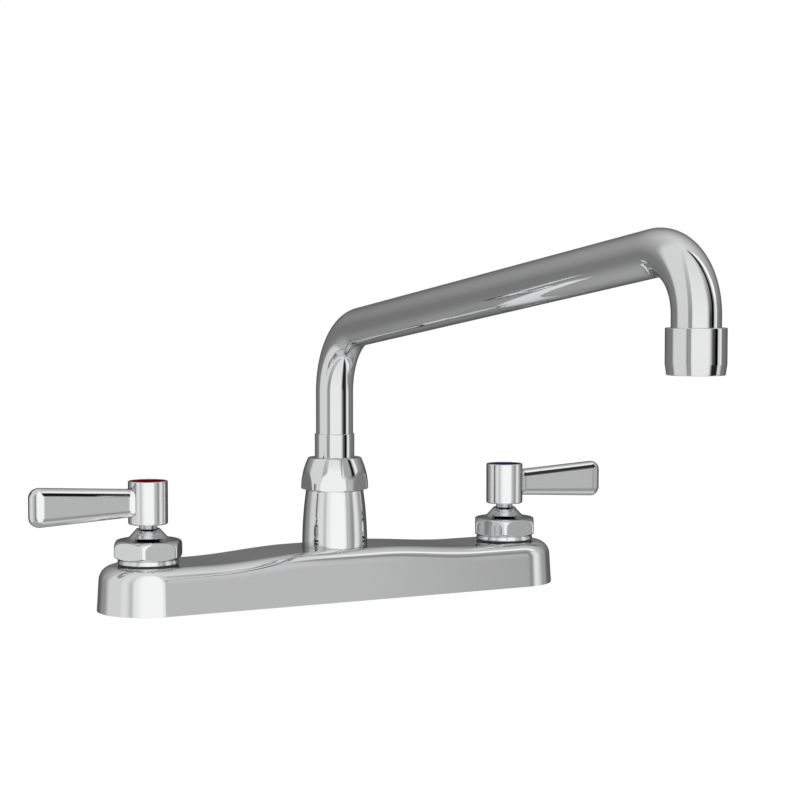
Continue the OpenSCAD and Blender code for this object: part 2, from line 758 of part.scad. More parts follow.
// Coloured disc pressed into the top of the hub
module index_button(tint) {
    color(tint) rotate_extrude() polygon([
        [0, button_z - stub_h], [button_stub_r, button_z - stub_h], [button_stub_r, button_z],
        [button_r, button_z], [button_r, hub_top - button_edge],
        [button_r - button_bevel, hub_top - button_crown], [0, hub_top + button_crown]]);
}

// Hexagonal nut with a domed top, which holds the spout down on the pillar
module spout_nut() {
    dome_steps = 9;
    dome_z = nut_z + nut_edge;
    dome_h = nut_top - nut_edge - dome_z;
    dome = [for (i = [0 : dome_steps]) let (t = i / dome_steps)
        [nut_r - nut_dome * t * t, dome_z + dome_h * t]];
    mouth_r = sleeve_r + nut_gap;
    color(CHROME) difference() {
        intersection() {
            translate([0, 0, nut_z]) rotate(30)
                cylinder(r = nut_flats / 2 / cos(30), h = nut_h, $fn = 6);
            rotate_extrude() polygon(concat(
                [[0, nut_z], [nut_r - nut_edge, nut_z]], dome,
                [[nut_r - nut_dome - nut_edge, nut_top], [0, nut_top]]));
        }
        post(nut_bore_r, nut_z - cut, nut_lip_z);
        post(mouth_r, nut_lip_z - cut, nut_top + cut);
        translate([0, 0, nut_top - nut_edge])
            cylinder(r1 = mouth_r, r2 = mouth_r + 2 * nut_edge, h = 2 * nut_edge);
    }
}

// Flat plastic ring that the spout's collar slides on
module slip_ring(inner_r, outer_r, z) {
    color(ACETAL) difference() {
        post(outer_r, z, z + slip_t);
        post(inner_r, z - cut, z + slip_t + cut);
    }
}

module spout_lower_slip_ring() {
    slip_ring(tail_r + slip_play, pillar_thread_r - thread_lead, thread_top);
}

module spout_upper_slip_ring() {
    slip_ring(sleeve_r + slip_play, nut_bore_r - slip_play, upper_slip_z);
}

// Turned sleeve: sealed tail in the socket, hold-down collar, and the cup for the tube
module spout_sleeve() {
    color(CHROME) difference() {
        union() {
            post(tail_r, socket_z + tail_gap, flange_z + embed);
            post(tail_flange_r, flange_z, flange_z + tail_flange_t);
            rotate_extrude() polygon([[0, flange_z], [sleeve_r, flange_z],
                [sleeve_r, sleeve_top - sleeve_edge], [sleeve_r - sleeve_edge, sleeve_top],
                [0, sleeve_top]]);
        }
        post(tail_bore_r, socket_z - cut, tube_foot_z + cut);
        post(tube_r + joint_gap, tube_foot_z, sleeve_top + cut);
        for (z = tail_ring_z) ring_groove(tail_r, tail_groove_r, spout_ring_d, z);
    }
}

module tail_o_ring(z) {
    seal_ring(tail_groove_r + spout_ring_d / 2, spout_ring_d / 2 - ring_play, z);
}

module spout_upper_o_ring() {
    tail_o_ring(tail_ring_z[1]);
}

module spout_lower_o_ring() {
    tail_o_ring(tail_ring_z[0]);
}

// Rings of points of radius r round the spout's centreline, which looks along -Y
function tube_rings(r) = [for (s = spout_path, i = [0 : tube_sides - 1])
    let (a = 360 * i / tube_sides, side = r * sin(a), up = r * cos(a))
    [side, -(s[0] - up * sin(s[2])), s[1] + up * cos(s[2])]];

// Hollow tube swept along the whole centreline
module spout_tube() {
    n = tube_sides;
    last = len(spout_path) - 1;
    inner = n * (last + 1);          // index of the first point on the inner wall
    walls = [for (k = [0 : last - 1], i = [0 : n - 1])
        let (j = (i + 1) % n, a = k * n, b = a + n)
        each [[a + i, b + j, a + j], [a + i, b + i, b + j],
              [inner + a + i, inner + a + j, inner + b + j],
              [inner + a + i, inner + b + j, inner + b + i]]];
    ends = [for (i = [0 : n - 1]) let (j = (i + 1) % n, b = last * n)
        each [[i, j, inner + j], [i, inner + j, inner + i],
              [b + i, inner + b + j, b + j], [b + i, inner + b + i, inner + b + j]]];
    color(CHROME) polyhedron(
        concat(tube_rings(tube_r), tube_rings(tube_r - tube_wall)), concat(walls, ends));
}

module at_outlet() {
    translate([0, -spout_reach, 0]) children();
}

// Threaded ring brazed on the tube's end, which carries the aerator shell
module outlet_adapter() {
    color(CAST_BRASS) at_outlet() difference() {
        post(adapter_r, adapter_z, shell_top - adapter_sink);
        post(tube_r - tube_wall, adapter_z - cut, tube_end_z + cut);
        post(tube_r + joint_gap, tube_end_z - joint_gap, shell_top + cut);
    }
}

module aerator_shell() {
    color(CHROME) at_outlet() difference() {
        rotate_extrude() polygon([[0, shell_z], [shell_r - mouth_taper - shell_bevel, shell_z],
            [shell_r - mouth_taper, shell_z + shell_bevel], [shell_r, shell_z + mouth_h],
            [shell_r, shell_top - shell_bevel], [shell_r - shell_bevel, shell_top],
            [0, shell_top]]);
        post(lip_r, shell_z - cut, shell_z + lip_t + cut);
        post(shell_bore_r, shell_z + lip_t, shell_top + cut);
    }
}

module aerator_washer() {
    color(RUBBER) at_outlet() difference() {
        post(insert_r, washer_z, washer_z + aerator_washer_t);
        post(tube_r - tube_wall, washer_z - cut, washer_z + aerator_washer_t + cut);
    }
}

// Wire screen as a plate with a hexagonal field of fine holes
module aerator_screen() {
    color(STEEL) at_outlet() difference() {
        post(insert_r, screen_z, screen_z + screen_t);
        for (ring = [1 : 3], i = [0 : 6 * ring - 1]) rotate(60 * i / ring)
            translate([screen_pitch * ring, 0, 0])
                post(screen_hole_r, screen_z - cut, screen_z + screen_t + cut);
    }
}

// Plastic stream former: a cup crossed by ring-shaped slots between spokes
module aerator_insert() {
    slots = 3;
    slot_pitch = (lip_r - slot_edge - slot_in) / slots;
    color(ACETAL) at_outlet() difference() {
        post(insert_r, insert_z, insert_top);
        for (k = [0 : slots - 1]) let (inner = slot_in + k * slot_pitch) difference() {
            post(inner + slot_pitch - former_wall, insert_z - cut, insert_top + cut);
            post(inner, insert_z - 2 * cut, insert_top + 2 * cut);
            for (a = [0 : 45 : 135]) rotate(a)
                translate([-insert_r, -former_wall / 2, insert_z - 2 * cut])
                    cube([2 * insert_r, former_wall, insert_top - insert_z + 4 * cut]);
        }
    }
}

// The hot side turns its lever to -X and the cold side to +X
module on_side(side) {
    translate([side * valve_x, 0, 0]) rotate(side < 0 ? 180 : 0) children();
}

deck_body();
deck_gasket();
spout_pillar();
on_side(-1) bonnet();  // hot_bonnet
on_side(-1) bonnet_washer();  // hot_bonnet_washer
on_side(-1) cartridge_body();  // hot_cartridge_body
on_side(-1) cartridge_o_ring();  // hot_cartridge_o_ring
on_side(-1) seat_seal();  // hot_seat_seal
on_side(-1) fixed_disc();  // hot_fixed_disc
on_side(-1) moving_disc();  // hot_moving_disc
on_side(-1) stem();  // hot_stem
on_side(-1) stem_o_ring();  // hot_stem_o_ring
on_side(-1) handle();  // hot_handle
on_side(-1) handle_screw();  // hot_handle_screw
on_side(-1) index_button(HOT_RED);  // hot_index_button
on_side(1) bonnet();  // cold_bonnet
on_side(1) bonnet_washer();  // cold_bonnet_washer
on_side(1) cartridge_body();  // cold_cartridge_body
on_side(1) cartridge_o_ring();  // cold_cartridge_o_ring
on_side(1) seat_seal();  // cold_seat_seal
on_side(1) fixed_disc();  // cold_fixed_disc
on_side(1) moving_disc();  // cold_moving_disc
on_side(1) stem();  // cold_stem
on_side(1) stem_o_ring();  // cold_stem_o_ring
on_side(1) handle();  // cold_handle
on_side(1) handle_screw();  // cold_handle_screw
on_side(1) index_button(COLD_BLUE);  // cold_index_button
spout_nut();
spout_lower_slip_ring();
spout_upper_slip_ring();
spout_sleeve();
spout_upper_o_ring();
spout_lower_o_ring();
spout_tube();
outlet_adapter();
aerator_washer();
aerator_screen();
aerator_insert();
aerator_shell();
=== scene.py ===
import json
import math

import bpy
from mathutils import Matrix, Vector


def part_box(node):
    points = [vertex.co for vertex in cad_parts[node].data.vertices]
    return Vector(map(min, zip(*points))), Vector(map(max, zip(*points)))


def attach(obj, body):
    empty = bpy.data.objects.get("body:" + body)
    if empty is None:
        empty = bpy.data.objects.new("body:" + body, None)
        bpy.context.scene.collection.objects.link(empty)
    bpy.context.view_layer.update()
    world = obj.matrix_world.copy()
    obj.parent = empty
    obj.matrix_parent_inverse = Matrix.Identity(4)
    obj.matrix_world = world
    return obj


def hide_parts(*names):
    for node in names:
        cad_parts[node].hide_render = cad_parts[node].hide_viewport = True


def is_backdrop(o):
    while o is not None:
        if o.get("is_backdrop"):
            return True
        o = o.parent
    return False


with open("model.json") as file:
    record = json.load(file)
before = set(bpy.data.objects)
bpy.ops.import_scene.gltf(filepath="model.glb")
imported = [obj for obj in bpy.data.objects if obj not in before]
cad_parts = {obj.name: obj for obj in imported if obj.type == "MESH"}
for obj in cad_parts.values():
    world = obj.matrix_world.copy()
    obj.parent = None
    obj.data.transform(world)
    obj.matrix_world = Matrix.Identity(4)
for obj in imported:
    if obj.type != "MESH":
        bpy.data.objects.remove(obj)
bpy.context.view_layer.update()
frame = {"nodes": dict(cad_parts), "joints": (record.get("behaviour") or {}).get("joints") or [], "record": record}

nodes = frame["nodes"]
scene = bpy.context.scene

MM = 0.001
SIDES = {-1: "hot", 1: "cold"}


class Box:
    """Where a node's solid starts and ends at rest, in millimetres."""

    def __init__(self, node):
        low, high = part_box(node)
        self.x0, self.y0, self.z0 = (round(v / MM, 3) for v in low)
        self.x1, self.y1, self.z1 = (round(v / MM, 3) for v in high)


# Sizes in millimetres. Places and outer sizes are read from the frame. The rest are named as in the solids.
# Values marked "here only" round a visible edge a little more finely than the solids do.

JOINT_GAP = 0.03               # between pieces that are pressed, brazed or screwed together
THREAD_LEAD = 0.1              # from the edge of a face to the first ridge beside it
VALVE_X = next(round(j["pos_m"][0] / MM, 3) for j in frame["joints"] if j["name"] == "cold_handle_turn")

# Base
base_box, gasket_box, washer_box = Box("deck_body"), Box("deck_gasket"), Box("cold_bonnet_washer")
BODY_LEN, BODY_W = base_box.x1 - base_box.x0, base_box.y1 - base_box.y0
HALF_W = BODY_W / 2
SPINE_HALF = BODY_LEN / 2 - HALF_W
CROWN_Z, GASKET_T, SEAT_H = base_box.z1, gasket_box.z1, washer_box.z0
HUMP_RISE = CROWN_Z - SEAT_H
CROWN_HALF, RISE_END = 17.0, 76.0
SIDE_DRAFT, EDGE_R = 3.5, 7.5
BODY_WALL, BODY_ROOF, RIM_W, RIM_BEVEL = 3.4, 3.6, 1.9, 0.12
POCKET_NECK_H, POCKET_NECK_INSET = 5.0, 2.8
BOSS_R, BOSS_BEVEL, BOSS_SINK = 13.95, 0.3, 0.5
INLET_R, INLET_DEPTH, INLET_MOUTH_H, INLET_RIDGE, INLET_PITCH = 9.8, 8.6, 1.2, 0.7, 1.6
SEAT_WEB, SEAT_HOLE_R, CHAMBER_R = 2.4, 4.4, 9.6

# Pillar
pillar_box = Box("spout_pillar")
PILLAR_FOOT_R, SPIGOT_Z, PILLAR_TOP = pillar_box.x1, pillar_box.z0, pillar_box.z1
PILLAR_TOP_R, PILLAR_BEVEL = 14.6, 0.12
PILLAR_THREAD_R, PILLAR_RIDGE, PILLAR_THREAD_BEVEL = 13.4, 0.55, 0.6
SPIGOT_R, SOCKET_R, SOCKET_DEPTH, SOCKET_BEVEL, RISER_BORE_R = 10.0, 11.2, 21.4, 0.3, 6.5
SOCKET_Z = PILLAR_TOP - SOCKET_DEPTH

# Bonnets
bonnet_box = Box("cold_bonnet")
FOOT_Z, TAIL_Z, BONNET_TOP = washer_box.z1, bonnet_box.z0, bonnet_box.z1
BONNET_THREAD_R, BONNET_RIDGE, BONNET_PITCH, TAIL_RELIEF, TAIL_RING_H = 11.2, 0.5, 1.2, 0.4, 0.8
FOOT_R, FOOT_DRAW, FOOT_EDGE_H = 15.1, 0.4, 0.5
CHAMFER_Z = FOOT_Z + 1.9
SIDE_Z = CHAMFER_Z + 1.9
SHOULDER_Z = SIDE_Z + 3.8
COLLAR_Z = SHOULDER_Z + 5.0
HEX_R, TURNED_R, SHOULDER_R = 18.05, 17.7, 4.0
COLLAR_FOOT_R, COLLAR_TOP_R, COLLAR_DEPTH = 9.6, 5.7, 6.0
COLLAR_FILLET = 3.0            # here only
STEM_R, STEM_PLAY = 4.5, 0.05

# Handles
handle_box = Box("cold_handle")
HUB_R, HUB_Z, HUB_TOP, HUB_EDGE = handle_box.y1, handle_box.z0, handle_box.z1, 1.0
SPLINE_TOP, SPLINE_R, SPLINE_LEAD = Box("cold_stem").z1, 4.0, 1.3
BUTTON_R, BUTTON_T, BUTTON_EDGE, BUTTON_PLAY = 8.3, 1.5, 0.3, 0.05
BUTTON_BEVEL, BUTTON_BEVEL_H, BUTTON_DROP, BUTTON_CROWN = 0.5, 0.3, 0.05, 0.05
BUTTON_Z = HUB_TOP - BUTTON_T
BUTTON_STUB_R, BUTTON_STUB_H = 5.1, 1.6
SCREW_HOLE_R, HEAD_POCKET_R, HEAD_POCKET_H = 2.1, 5.2, 5.4
HEAD_SEAT_Z = BUTTON_Z - HEAD_POCKET_H
LEVER_Z = (HUB_Z + HUB_TOP) / 2 + 0.2
LEVER_REACH, LEVER_ROOT_H, LEVER_TIP_H, LEVER_T = 60.2, 13.7, 19.6, 8.8
LEVER_CORNER_R, LEVER_SINK, LEVER_FLARE = 5.4, 3.0, 0.9
LEVER_NOSE = 6.6               # here only, as are the roundings along the top and bottom edges
LEVER_TOP_R, LEVER_BOTTOM_R, LEVER_BOTTOM_TIP_R = 4.2, 2.7, 3.4
LEVER_BOTTOM_TALL = 1.4        # the bottom edge's rounding is an ellipse, this much taller than wide
FLARE_OUT, FLARE_LEN = 1.9, 4.2

# Sleeve
sleeve_box = Box("spout_sleeve")
TAIL_END_Z, SLEEVE_TOP, FLANGE_R = sleeve_box.z0, sleeve_box.z1, sleeve_box.x1
SLEEVE_R, SLEEVE_WALL, SLEEVE_EDGE, SLEEVE_PLAY = 10.15, 0.6, 0.45, 0.05
TAIL_R, TAIL_BORE_R = 11.15, 7.2
FLANGE_Z, FLANGE_T = PILLAR_TOP + 0.6, 2.4

# Coupling nut
nut_box = Box("spout_nut")
NUT_FLATS, NUT_Z, NUT_TOP = nut_box.x1 - nut_box.x0, nut_box.z0, nut_box.z1
NUT_R, NUT_DOME, NUT_EDGE = 17.2, 3.4, 0.5
NUT_BORE_R, NUT_MOUTH_R, NUT_BEVEL = 13.45, 11.15, 0.4
NUT_RIDGE, NUT_PITCH, NUT_RELIEF = 0.5, 1.4, 1.0
NUT_LIP_Z = FLANGE_Z + FLANGE_T + 0.6

# Tube and outlet
tube_box, shell_box = Box("spout_tube"), Box("aerator_shell")
REACH = -(shell_box.y0 + shell_box.y1) / 2
SHELL_R, SHELL_Z, SHELL_TOP = shell_box.x1, shell_box.z0, shell_box.z1
MOUTH_H, MOUTH_TAPER, SHELL_WALL, LIP_T, LIP_W = 4.2, 0.6, 1.3, 1.5, 1.2
TUBE_R, TUBE_WALL, TUBE_Z = tube_box.y1, 1.2, tube_box.z0
TUBE_FOOT_Z = TUBE_Z - JOINT_GAP
BEND_Z, BEND_R, RUN_RISE, OUTLET_BEND_R = SLEEVE_TOP + 21.0, 34.4, 7.43, 23.7
TUBE_END_Z = SHELL_Z + 9.5
DROP_Z = TUBE_END_Z + 13.0


def deg(a):
    return math.radians(a)


def clamp(v, lo, hi):
    return min(max(v, lo), hi)


def between(a, b, t):
    return a + (b - a) * t


# Meshes

SHARP_ANGLE = 38
TURNED_POINTS = 144
HEX_POINTS = 432
FILLET_STEPS = 8
FILLET_GUARD = 0.06            # a point this far beyond each end of a fillet keeps the flats beside it flat
RIDGE_SHAPE = ((0.12, 0), (0.42, 1), (0.58, 1), (0.88, 0))


def mesh_object(name, points, faces, sharp):
    mesh = bpy.data.meshes.new(name)
    mesh.from_pydata([(x * MM, y * MM, z * MM) for x, y, z in points], [], faces)
    mesh.validate()
    mesh.polygons.foreach_set("use_smooth", [True] * len(mesh.polygons))
    mesh.set_sharp_from_angle(angle=deg(sharp))
    obj = bpy.data.objects.new(name, mesh)
    scene.collection.objects.link(obj)
    return obj


class Build:
    """Points and faces of one mesh, in millimetres."""

    def __init__(self):
        self.points, self.faces = [], []

    def skin(self, rings, loop=False, ends=False):
        """Joins closed rings of points in turn. A ring of one point is a pole."""
        starts = []
        for ring in rings:
            starts.append(len(self.points))
            self.points += ring
        pairs = list(zip(range(len(rings) - 1), range(1, len(rings))))
        if loop:
            pairs.append((len(rings) - 1, 0))
        for a, b in pairs:
            n = max(len(rings[a]), len(rings[b]))
            for i in range(n):
                j = (i + 1) % n
                if len(rings[a]) == 1:
                    self.faces.append((starts[a], starts[b] + j, starts[b] + i))
                elif len(rings[b]) == 1:
                    self.faces.append((starts[a] + i, starts[a] + j, starts[b]))
                else:
                    self.faces.append((starts[a] + i, starts[a] + j, starts[b] + j, starts[b] + i))
        if ends:
            self.faces.append(tuple(range(starts[0] + len(rings[0]) - 1, starts[0] - 1, -1)))
            self.faces.append(tuple(range(starts[-1], starts[-1] + len(rings[-1]))))

    def lathe(self, profile, x=0.0, y=0.0, n=TURNED_POINTS, loop=False):
        """Turns a profile of (radius, height) round the upright axis at x, y."""
        rings = []
        for r, z in profile:
            if r < 1e-6:
                rings.append([(x, y, z)])
            else:
                turns = [2 * math.pi * i / n for i in range(n)]
                rings.append([(x + r * math.cos(a), y + r * math.sin(a), z) for a in turns])
        self.skin(rings, loop=loop)

    def to_valve(self, side):
        """Moves everything from the middle to a valve, turned so that +X points outward."""
        self.points = [(side * x + side * VALVE_X, side * y, z) for x, y, z in self.points]

    def object(self, name, sharp=SHARP_ANGLE):
        return mesh_object(name, self.points, self.faces, sharp)


def rounded(corners, closed=False):
    """Polyline through corners of (radius, height, fillet), with each fillet as an arc."""
    out = []
    n = len(corners)
    for i, corner in enumerate(corners):
        p = Vector(corner[:2])
        f = corner[2] if len(corner) > 2 else 0
        if not closed and i in (0, n - 1) or f <= 0:
            out.append(tuple(p))
            continue
        a = Vector(corners[i - 1][:2]) - p
        b = Vector(corners[(i + 1) % n][:2]) - p
        la, lb = a.length, b.length
        a, b = a / la, b / lb
        half = math.acos(clamp(a.dot(b), -1, 1)) / 2
        t = min(f / math.tan(half), la * 0.49, lb * 0.49)
        f = t * math.tan(half)
        centre = p + (a + b).normalized() * (f / math.sin(half))
        p0, p1 = p + a * t, p + b * t
        if la > t + 3 * FILLET_GUARD:
            out.append(tuple(p0 + a * FILLET_GUARD))
        u, v = p0 - centre, p1 - centre
        turn = math.atan2(u.x * v.y - u.y * v.x, u.dot(v))
        for k in range(FILLET_STEPS + 1):
            w = turn * k / FILLET_STEPS
            spoke = (u.x * math.cos(w) - u.y * math.sin(w), u.x * math.sin(w) + u.y * math.cos(w))
            out.append(tuple(centre + Vector(spoke)))
        if lb > t + 3 * FILLET_GUARD:
            out.append(tuple(p1 + b * FILLET_GUARD))
    return out


def divided(points, most):
    """Adds points to a polyline so that no step is longer than the given length."""
    out = [points[0]]
    for a, b in zip(points, points[1:]):
        n = max(1, math.ceil(math.hypot(b[0] - a[0], b[1] - a[1]) / most))
        out += [(between(a[0], b[0], k / n), between(a[1], b[1], k / n)) for k in range(1, n + 1)]
    return out


def thread(r, z0, z1, pitch, depth):
    """Profile of ridges along a cylinder of radius r between two heights."""
    n = max(1, int(abs(z1 - z0) / pitch))
    step = (z1 - z0) / n
    out = [(r - depth, z0)]
    for i in range(n):
        out += [(r - depth * (1 - up), z0 + (i + share) * step) for share, up in RIDGE_SHAPE]
    return out + [(r - depth, z1)]


def inner_thread(r, z0, z1, pitch, depth):
    """The same ridges cut into a bore of radius r."""
    return [(2 * r - ridge_r, z) for ridge_r, z in thread(r, z0, z1, pitch, depth)]


# Deck body


def top_z(x):
    t = clamp((abs(x) - CROWN_HALF) / (RISE_END - CROWN_HALF), 0, 1)
    return SEAT_H + HUMP_RISE * (1 + math.cos(math.pi * t)) / 2


def outline_stations():
    """Places round the stadium outline: spine x and direction out, counter-clockwise."""
    end, side = 44, 190
    front = [(-SPINE_HALF, 180 + 90 * i / end) for i in range(end)]
    front += [(SPINE_HALF * (2 * i / side - 1), 270) for i in range(side + 1)]
    front += [(SPINE_HALF, 270 + 90 * i / end) for i in range(1, end + 1)]
    back = [(SPINE_HALF, 90 * i / end) for i in range(1, end)]
    back += [(SPINE_HALF * (1 - 2 * i / side), 90) for i in range(side + 1)]
    back += [(-SPINE_HALF, 90 + 90 * i / end) for i in range(1, end)]
    return front + back


def side_level(t, x):
    """Distance from the spine and height, at a share t of the drafted side's height."""
    draft = deg(SIDE_DRAFT)
    z = (top_z(x) - EDGE_R + EDGE_R * math.sin(draft)) * t
    return HALF_W - z * math.tan(draft), z


def edge_level(a, x):
    """Distance from the spine and height, at an angle on the rounded top edge."""
    draft, angle = deg(SIDE_DRAFT), deg(a)
    z = top_z(x) - EDGE_R
    d = HALF_W - (z + EDGE_R * math.sin(draft)) * math.tan(draft) - EDGE_R * math.cos(draft)
    return d + EDGE_R * math.cos(angle), z + EDGE_R * math.sin(angle)


def body_ring(level):
    """One ring round the base, where level(spine x) gives the distance from the spine and the height."""
    out = []
    for x, direction in outline_stations():
        d, z = level(x)
        out.append((x + d * math.cos(deg(direction)), d * math.sin(deg(direction)), z))
    return out


def inset_ring(w, z):
    return body_ring(lambda x: (HALF_W - w, z))


def boss_profile(pocket_top):
    """A valve's thread, chamber and seat, the threaded inlet below it, and the boss round them all."""
    floor_z = INLET_DEPTH + SEAT_WEB
    thread_end = TAIL_Z - TAIL_RELIEF
    profile = [(BONNET_THREAD_R, SEAT_H - 0.05), (BONNET_THREAD_R, thread_end), (CHAMBER_R, thread_end),
               (CHAMBER_R, floor_z), (SEAT_HOLE_R, floor_z), (SEAT_HOLE_R, INLET_DEPTH),
               (INLET_R, INLET_DEPTH)]
    profile += inner_thread(INLET_R, INLET_DEPTH - 0.4, INLET_MOUTH_H, INLET_PITCH, INLET_RIDGE)
    profile += [(INLET_R + INLET_RIDGE, 0.0), (BOSS_R - BOSS_BEVEL, 0.0), (BOSS_R, BOSS_BEVEL),
                (BOSS_R, pocket_top + BOSS_SINK)]
    return profile[::-1]


def make_deck_body():
    rim_z, edge_steps = GASKET_T + JOINT_GAP, 22
    rings = [inset_ring(RIM_W, rim_z), inset_ring(RIM_W, RIM_BEVEL), inset_ring(RIM_W - RIM_BEVEL, 0.0),
             inset_ring(0.15, 0.0), inset_ring(0.04, 0.04)]
    for t in (0.008, 0.02, 0.25, 0.5, 0.75, 0.98, 0.995):
        rings.append(body_ring(lambda x: side_level(t, x)))
    for k in range(edge_steps + 1):
        a = between(SIDE_DRAFT, 90, k / edge_steps)
        rings.append(body_ring(lambda x: edge_level(a, x)))
    for share in (0.996, 0.9, 0.6, 0.3, 0.0):
        rings.append(body_ring(lambda x: (edge_level(90, x)[0] * share, top_z(x))))
    b = Build()
    b.skin(rings)
    # Hollow underside, behind the gasket plate
    pocket_top = SEAT_H - BODY_ROOF
    neck_z, neck_wall = pocket_top - POCKET_NECK_H, BODY_WALL + POCKET_NECK_INSET
    under = [inset_ring(RIM_W, rim_z), inset_ring(BODY_WALL, rim_z), inset_ring(BODY_WALL, neck_z),
             inset_ring(neck_wall, neck_z), inset_ring(neck_wall, pocket_top),
             body_ring(lambda x: (0.01, pocket_top))]
    b.skin([ring[::-1] for ring in under])
    for side in SIDES:
        b.lathe(boss_profile(pocket_top), x=side * VALVE_X)
    return b.object("deck_body_casting")


def make_pillar():
    steps, thread_top = 30, PILLAR_TOP - PILLAR_THREAD_BEVEL
    swell = [(between(PILLAR_FOOT_R, PILLAR_TOP_R, (i / steps) ** 2), between(CROWN_Z, NUT_Z, i / steps))
             for i in range(1, steps)]
    profile = [(RISER_BORE_R, SOCKET_Z), (RISER_BORE_R, SPIGOT_Z), (SPIGOT_R, SPIGOT_Z), (SPIGOT_R, CROWN_Z),
               (PILLAR_FOOT_R - PILLAR_BEVEL, CROWN_Z), (PILLAR_FOOT_R - 0.02, CROWN_Z + 0.1)]
    profile += swell + [(PILLAR_TOP_R + 0.02, NUT_Z - 0.15), (PILLAR_TOP_R - PILLAR_BEVEL, NUT_Z)]
    profile += thread(PILLAR_THREAD_R, NUT_Z + THREAD_LEAD, thread_top, NUT_PITCH, PILLAR_RIDGE)
    profile += [(PILLAR_THREAD_R - PILLAR_THREAD_BEVEL, PILLAR_TOP), (SOCKET_R + SOCKET_BEVEL, PILLAR_TOP),
                (SOCKET_R, PILLAR_TOP - SOCKET_BEVEL), (SOCKET_R, SOCKET_Z)]
    b = Build()
    b.lathe(profile, loop=True, n=192)
    return b.object("pillar")


# Hexagonal pieces: at each angle the turned outline is cut back to the flats


def soft_min(a, b, soft):
    """The smaller of two lengths. Where they differ by less than soft, one blends into the other."""
    share = max(soft - abs(a - b), 0) / soft
    return min(a, b) - share * share * soft / 4


def hex_rings(profile, apothem, first_corner, soft):
    """Rings of a turned outline with six flats, apothem from the axis."""
    rings = []
    for r, z in profile:
        ring = []
        for i in range(HEX_POINTS):
            a = 360 * i / HEX_POINTS
            flat = apothem / math.cos(deg((a - first_corner) % 60 - 30))
            cut = soft_min(r, flat, soft)
            ring.append((cut * math.cos(deg(a)), cut * math.sin(deg(a)), z))
        rings.append(ring)
    return rings


def circle_rings(profile):
    turns = [2 * math.pi * i / HEX_POINTS for i in range(HEX_POINTS)]
    return [[(r * math.cos(a), r * math.sin(a), z) for a in turns] for r, z in profile]


def make_bonnet(side):
    bore = STEM_R + STEM_PLAY
    foot = rounded([(FOOT_R - 1, FOOT_Z), (FOOT_R, FOOT_Z, 0.2), (FOOT_R, FOOT_Z + FOOT_EDGE_H, 0.3),
                    (FOOT_R - FOOT_DRAW, CHAMFER_Z, 0.25), (TURNED_R, SIDE_Z, 0.5), (TURNED_R, SHOULDER_Z)])
    shoulder = [(TURNED_R - SHOULDER_R * (1 - math.cos(deg(a))), SHOULDER_Z + SHOULDER_R * math.sin(deg(a)))
                for a in range(3, 91, 3)]
    collar = rounded([shoulder[-1], (COLLAR_FOOT_R, COLLAR_Z, COLLAR_FILLET),
                      (COLLAR_TOP_R, BONNET_TOP, 0.25), (bore, BONNET_TOP)])[1:]
    outer = divided(foot + shoulder, most=0.25)
    crown = divided(collar, most=0.4) + [(bore, BONNET_TOP - COLLAR_DEPTH)]
    tail = [(CHAMBER_R, TAIL_Z + TAIL_RING_H), (CHAMBER_R, TAIL_Z)]
    tail += thread(BONNET_THREAD_R, TAIL_Z + THREAD_LEAD, SEAT_H, BONNET_PITCH, BONNET_RIDGE)
    tail += [(BONNET_THREAD_R - BONNET_RIDGE, FOOT_Z)]
    body = hex_rings(outer, apothem=HEX_R * math.cos(deg(30)), first_corner=0, soft=0.5)
    b = Build()
    b.skin(circle_rings(tail) + body + circle_rings(crown))
    b.to_valve(side)
    return b.object(SIDES[side] + "_bonnet_shell")


def make_nut():
    steps = 60
    dome = [(NUT_R - NUT_DOME * (i / steps) ** 2, between(NUT_Z + NUT_EDGE, NUT_TOP - NUT_EDGE, i / steps))
            for i in range(steps + 1)]
    outer = divided([(NUT_BORE_R + NUT_BEVEL, NUT_Z), (NUT_R - NUT_EDGE, NUT_Z)] + dome, most=0.28)
    rim = rounded([dome[-1], (NUT_R - NUT_DOME - 0.25, NUT_TOP, 0.45),
                   (NUT_MOUTH_R + NUT_EDGE, NUT_TOP, 0.15), (NUT_MOUTH_R, NUT_TOP - NUT_EDGE, 0.1),
                   (NUT_MOUTH_R, NUT_LIP_Z)])[1:]
    ridges = inner_thread(NUT_BORE_R, NUT_LIP_Z - NUT_RELIEF, NUT_Z + 2 * NUT_BEVEL, NUT_PITCH, NUT_RIDGE)
    bore = [(NUT_BORE_R, NUT_LIP_Z)] + [(r - NUT_RIDGE, z) for r, z in ridges]
    bore += [(NUT_BORE_R, NUT_Z + NUT_BEVEL)]
    body = hex_rings(outer, apothem=NUT_FLATS / 2, first_corner=30, soft=0.25)
    b = Build()
    b.skin(body + circle_rings(rim + bore), loop=True)
    return b.object("hold_down_nut")


def make_sleeve():
    flange_top, mouth_r = FLANGE_Z + FLANGE_T, TUBE_R + SLEEVE_PLAY
    profile = [(SLEEVE_R - SLEEVE_WALL, TUBE_FOOT_Z), (TAIL_BORE_R, TUBE_FOOT_Z), (TAIL_BORE_R, TAIL_END_Z),
               (TAIL_R, TAIL_END_Z), (TAIL_R, FLANGE_Z), (FLANGE_R, FLANGE_Z), (FLANGE_R, flange_top),
               (SLEEVE_R, flange_top)]
    profile += rounded([(SLEEVE_R, flange_top + 0.5), (SLEEVE_R, SLEEVE_TOP, SLEEVE_EDGE),
                        (mouth_r, SLEEVE_TOP), (mouth_r, SLEEVE_TOP - 1)])
    b = Build()
    b.lathe(profile, loop=True)
    return b.object("spout_cup")


def bend_stations(s, z, r, start, end):
    """Stations round a bend of radius r about a centre s out and z up, from one angle down to another."""
    n = math.ceil((start - end) / 2.2)
    turns = [between(start, end, i / n) for i in range(n + 1)]
    return [(s + r * math.cos(deg(a)), z + r * math.sin(deg(a)), a - 90) for a in turns]


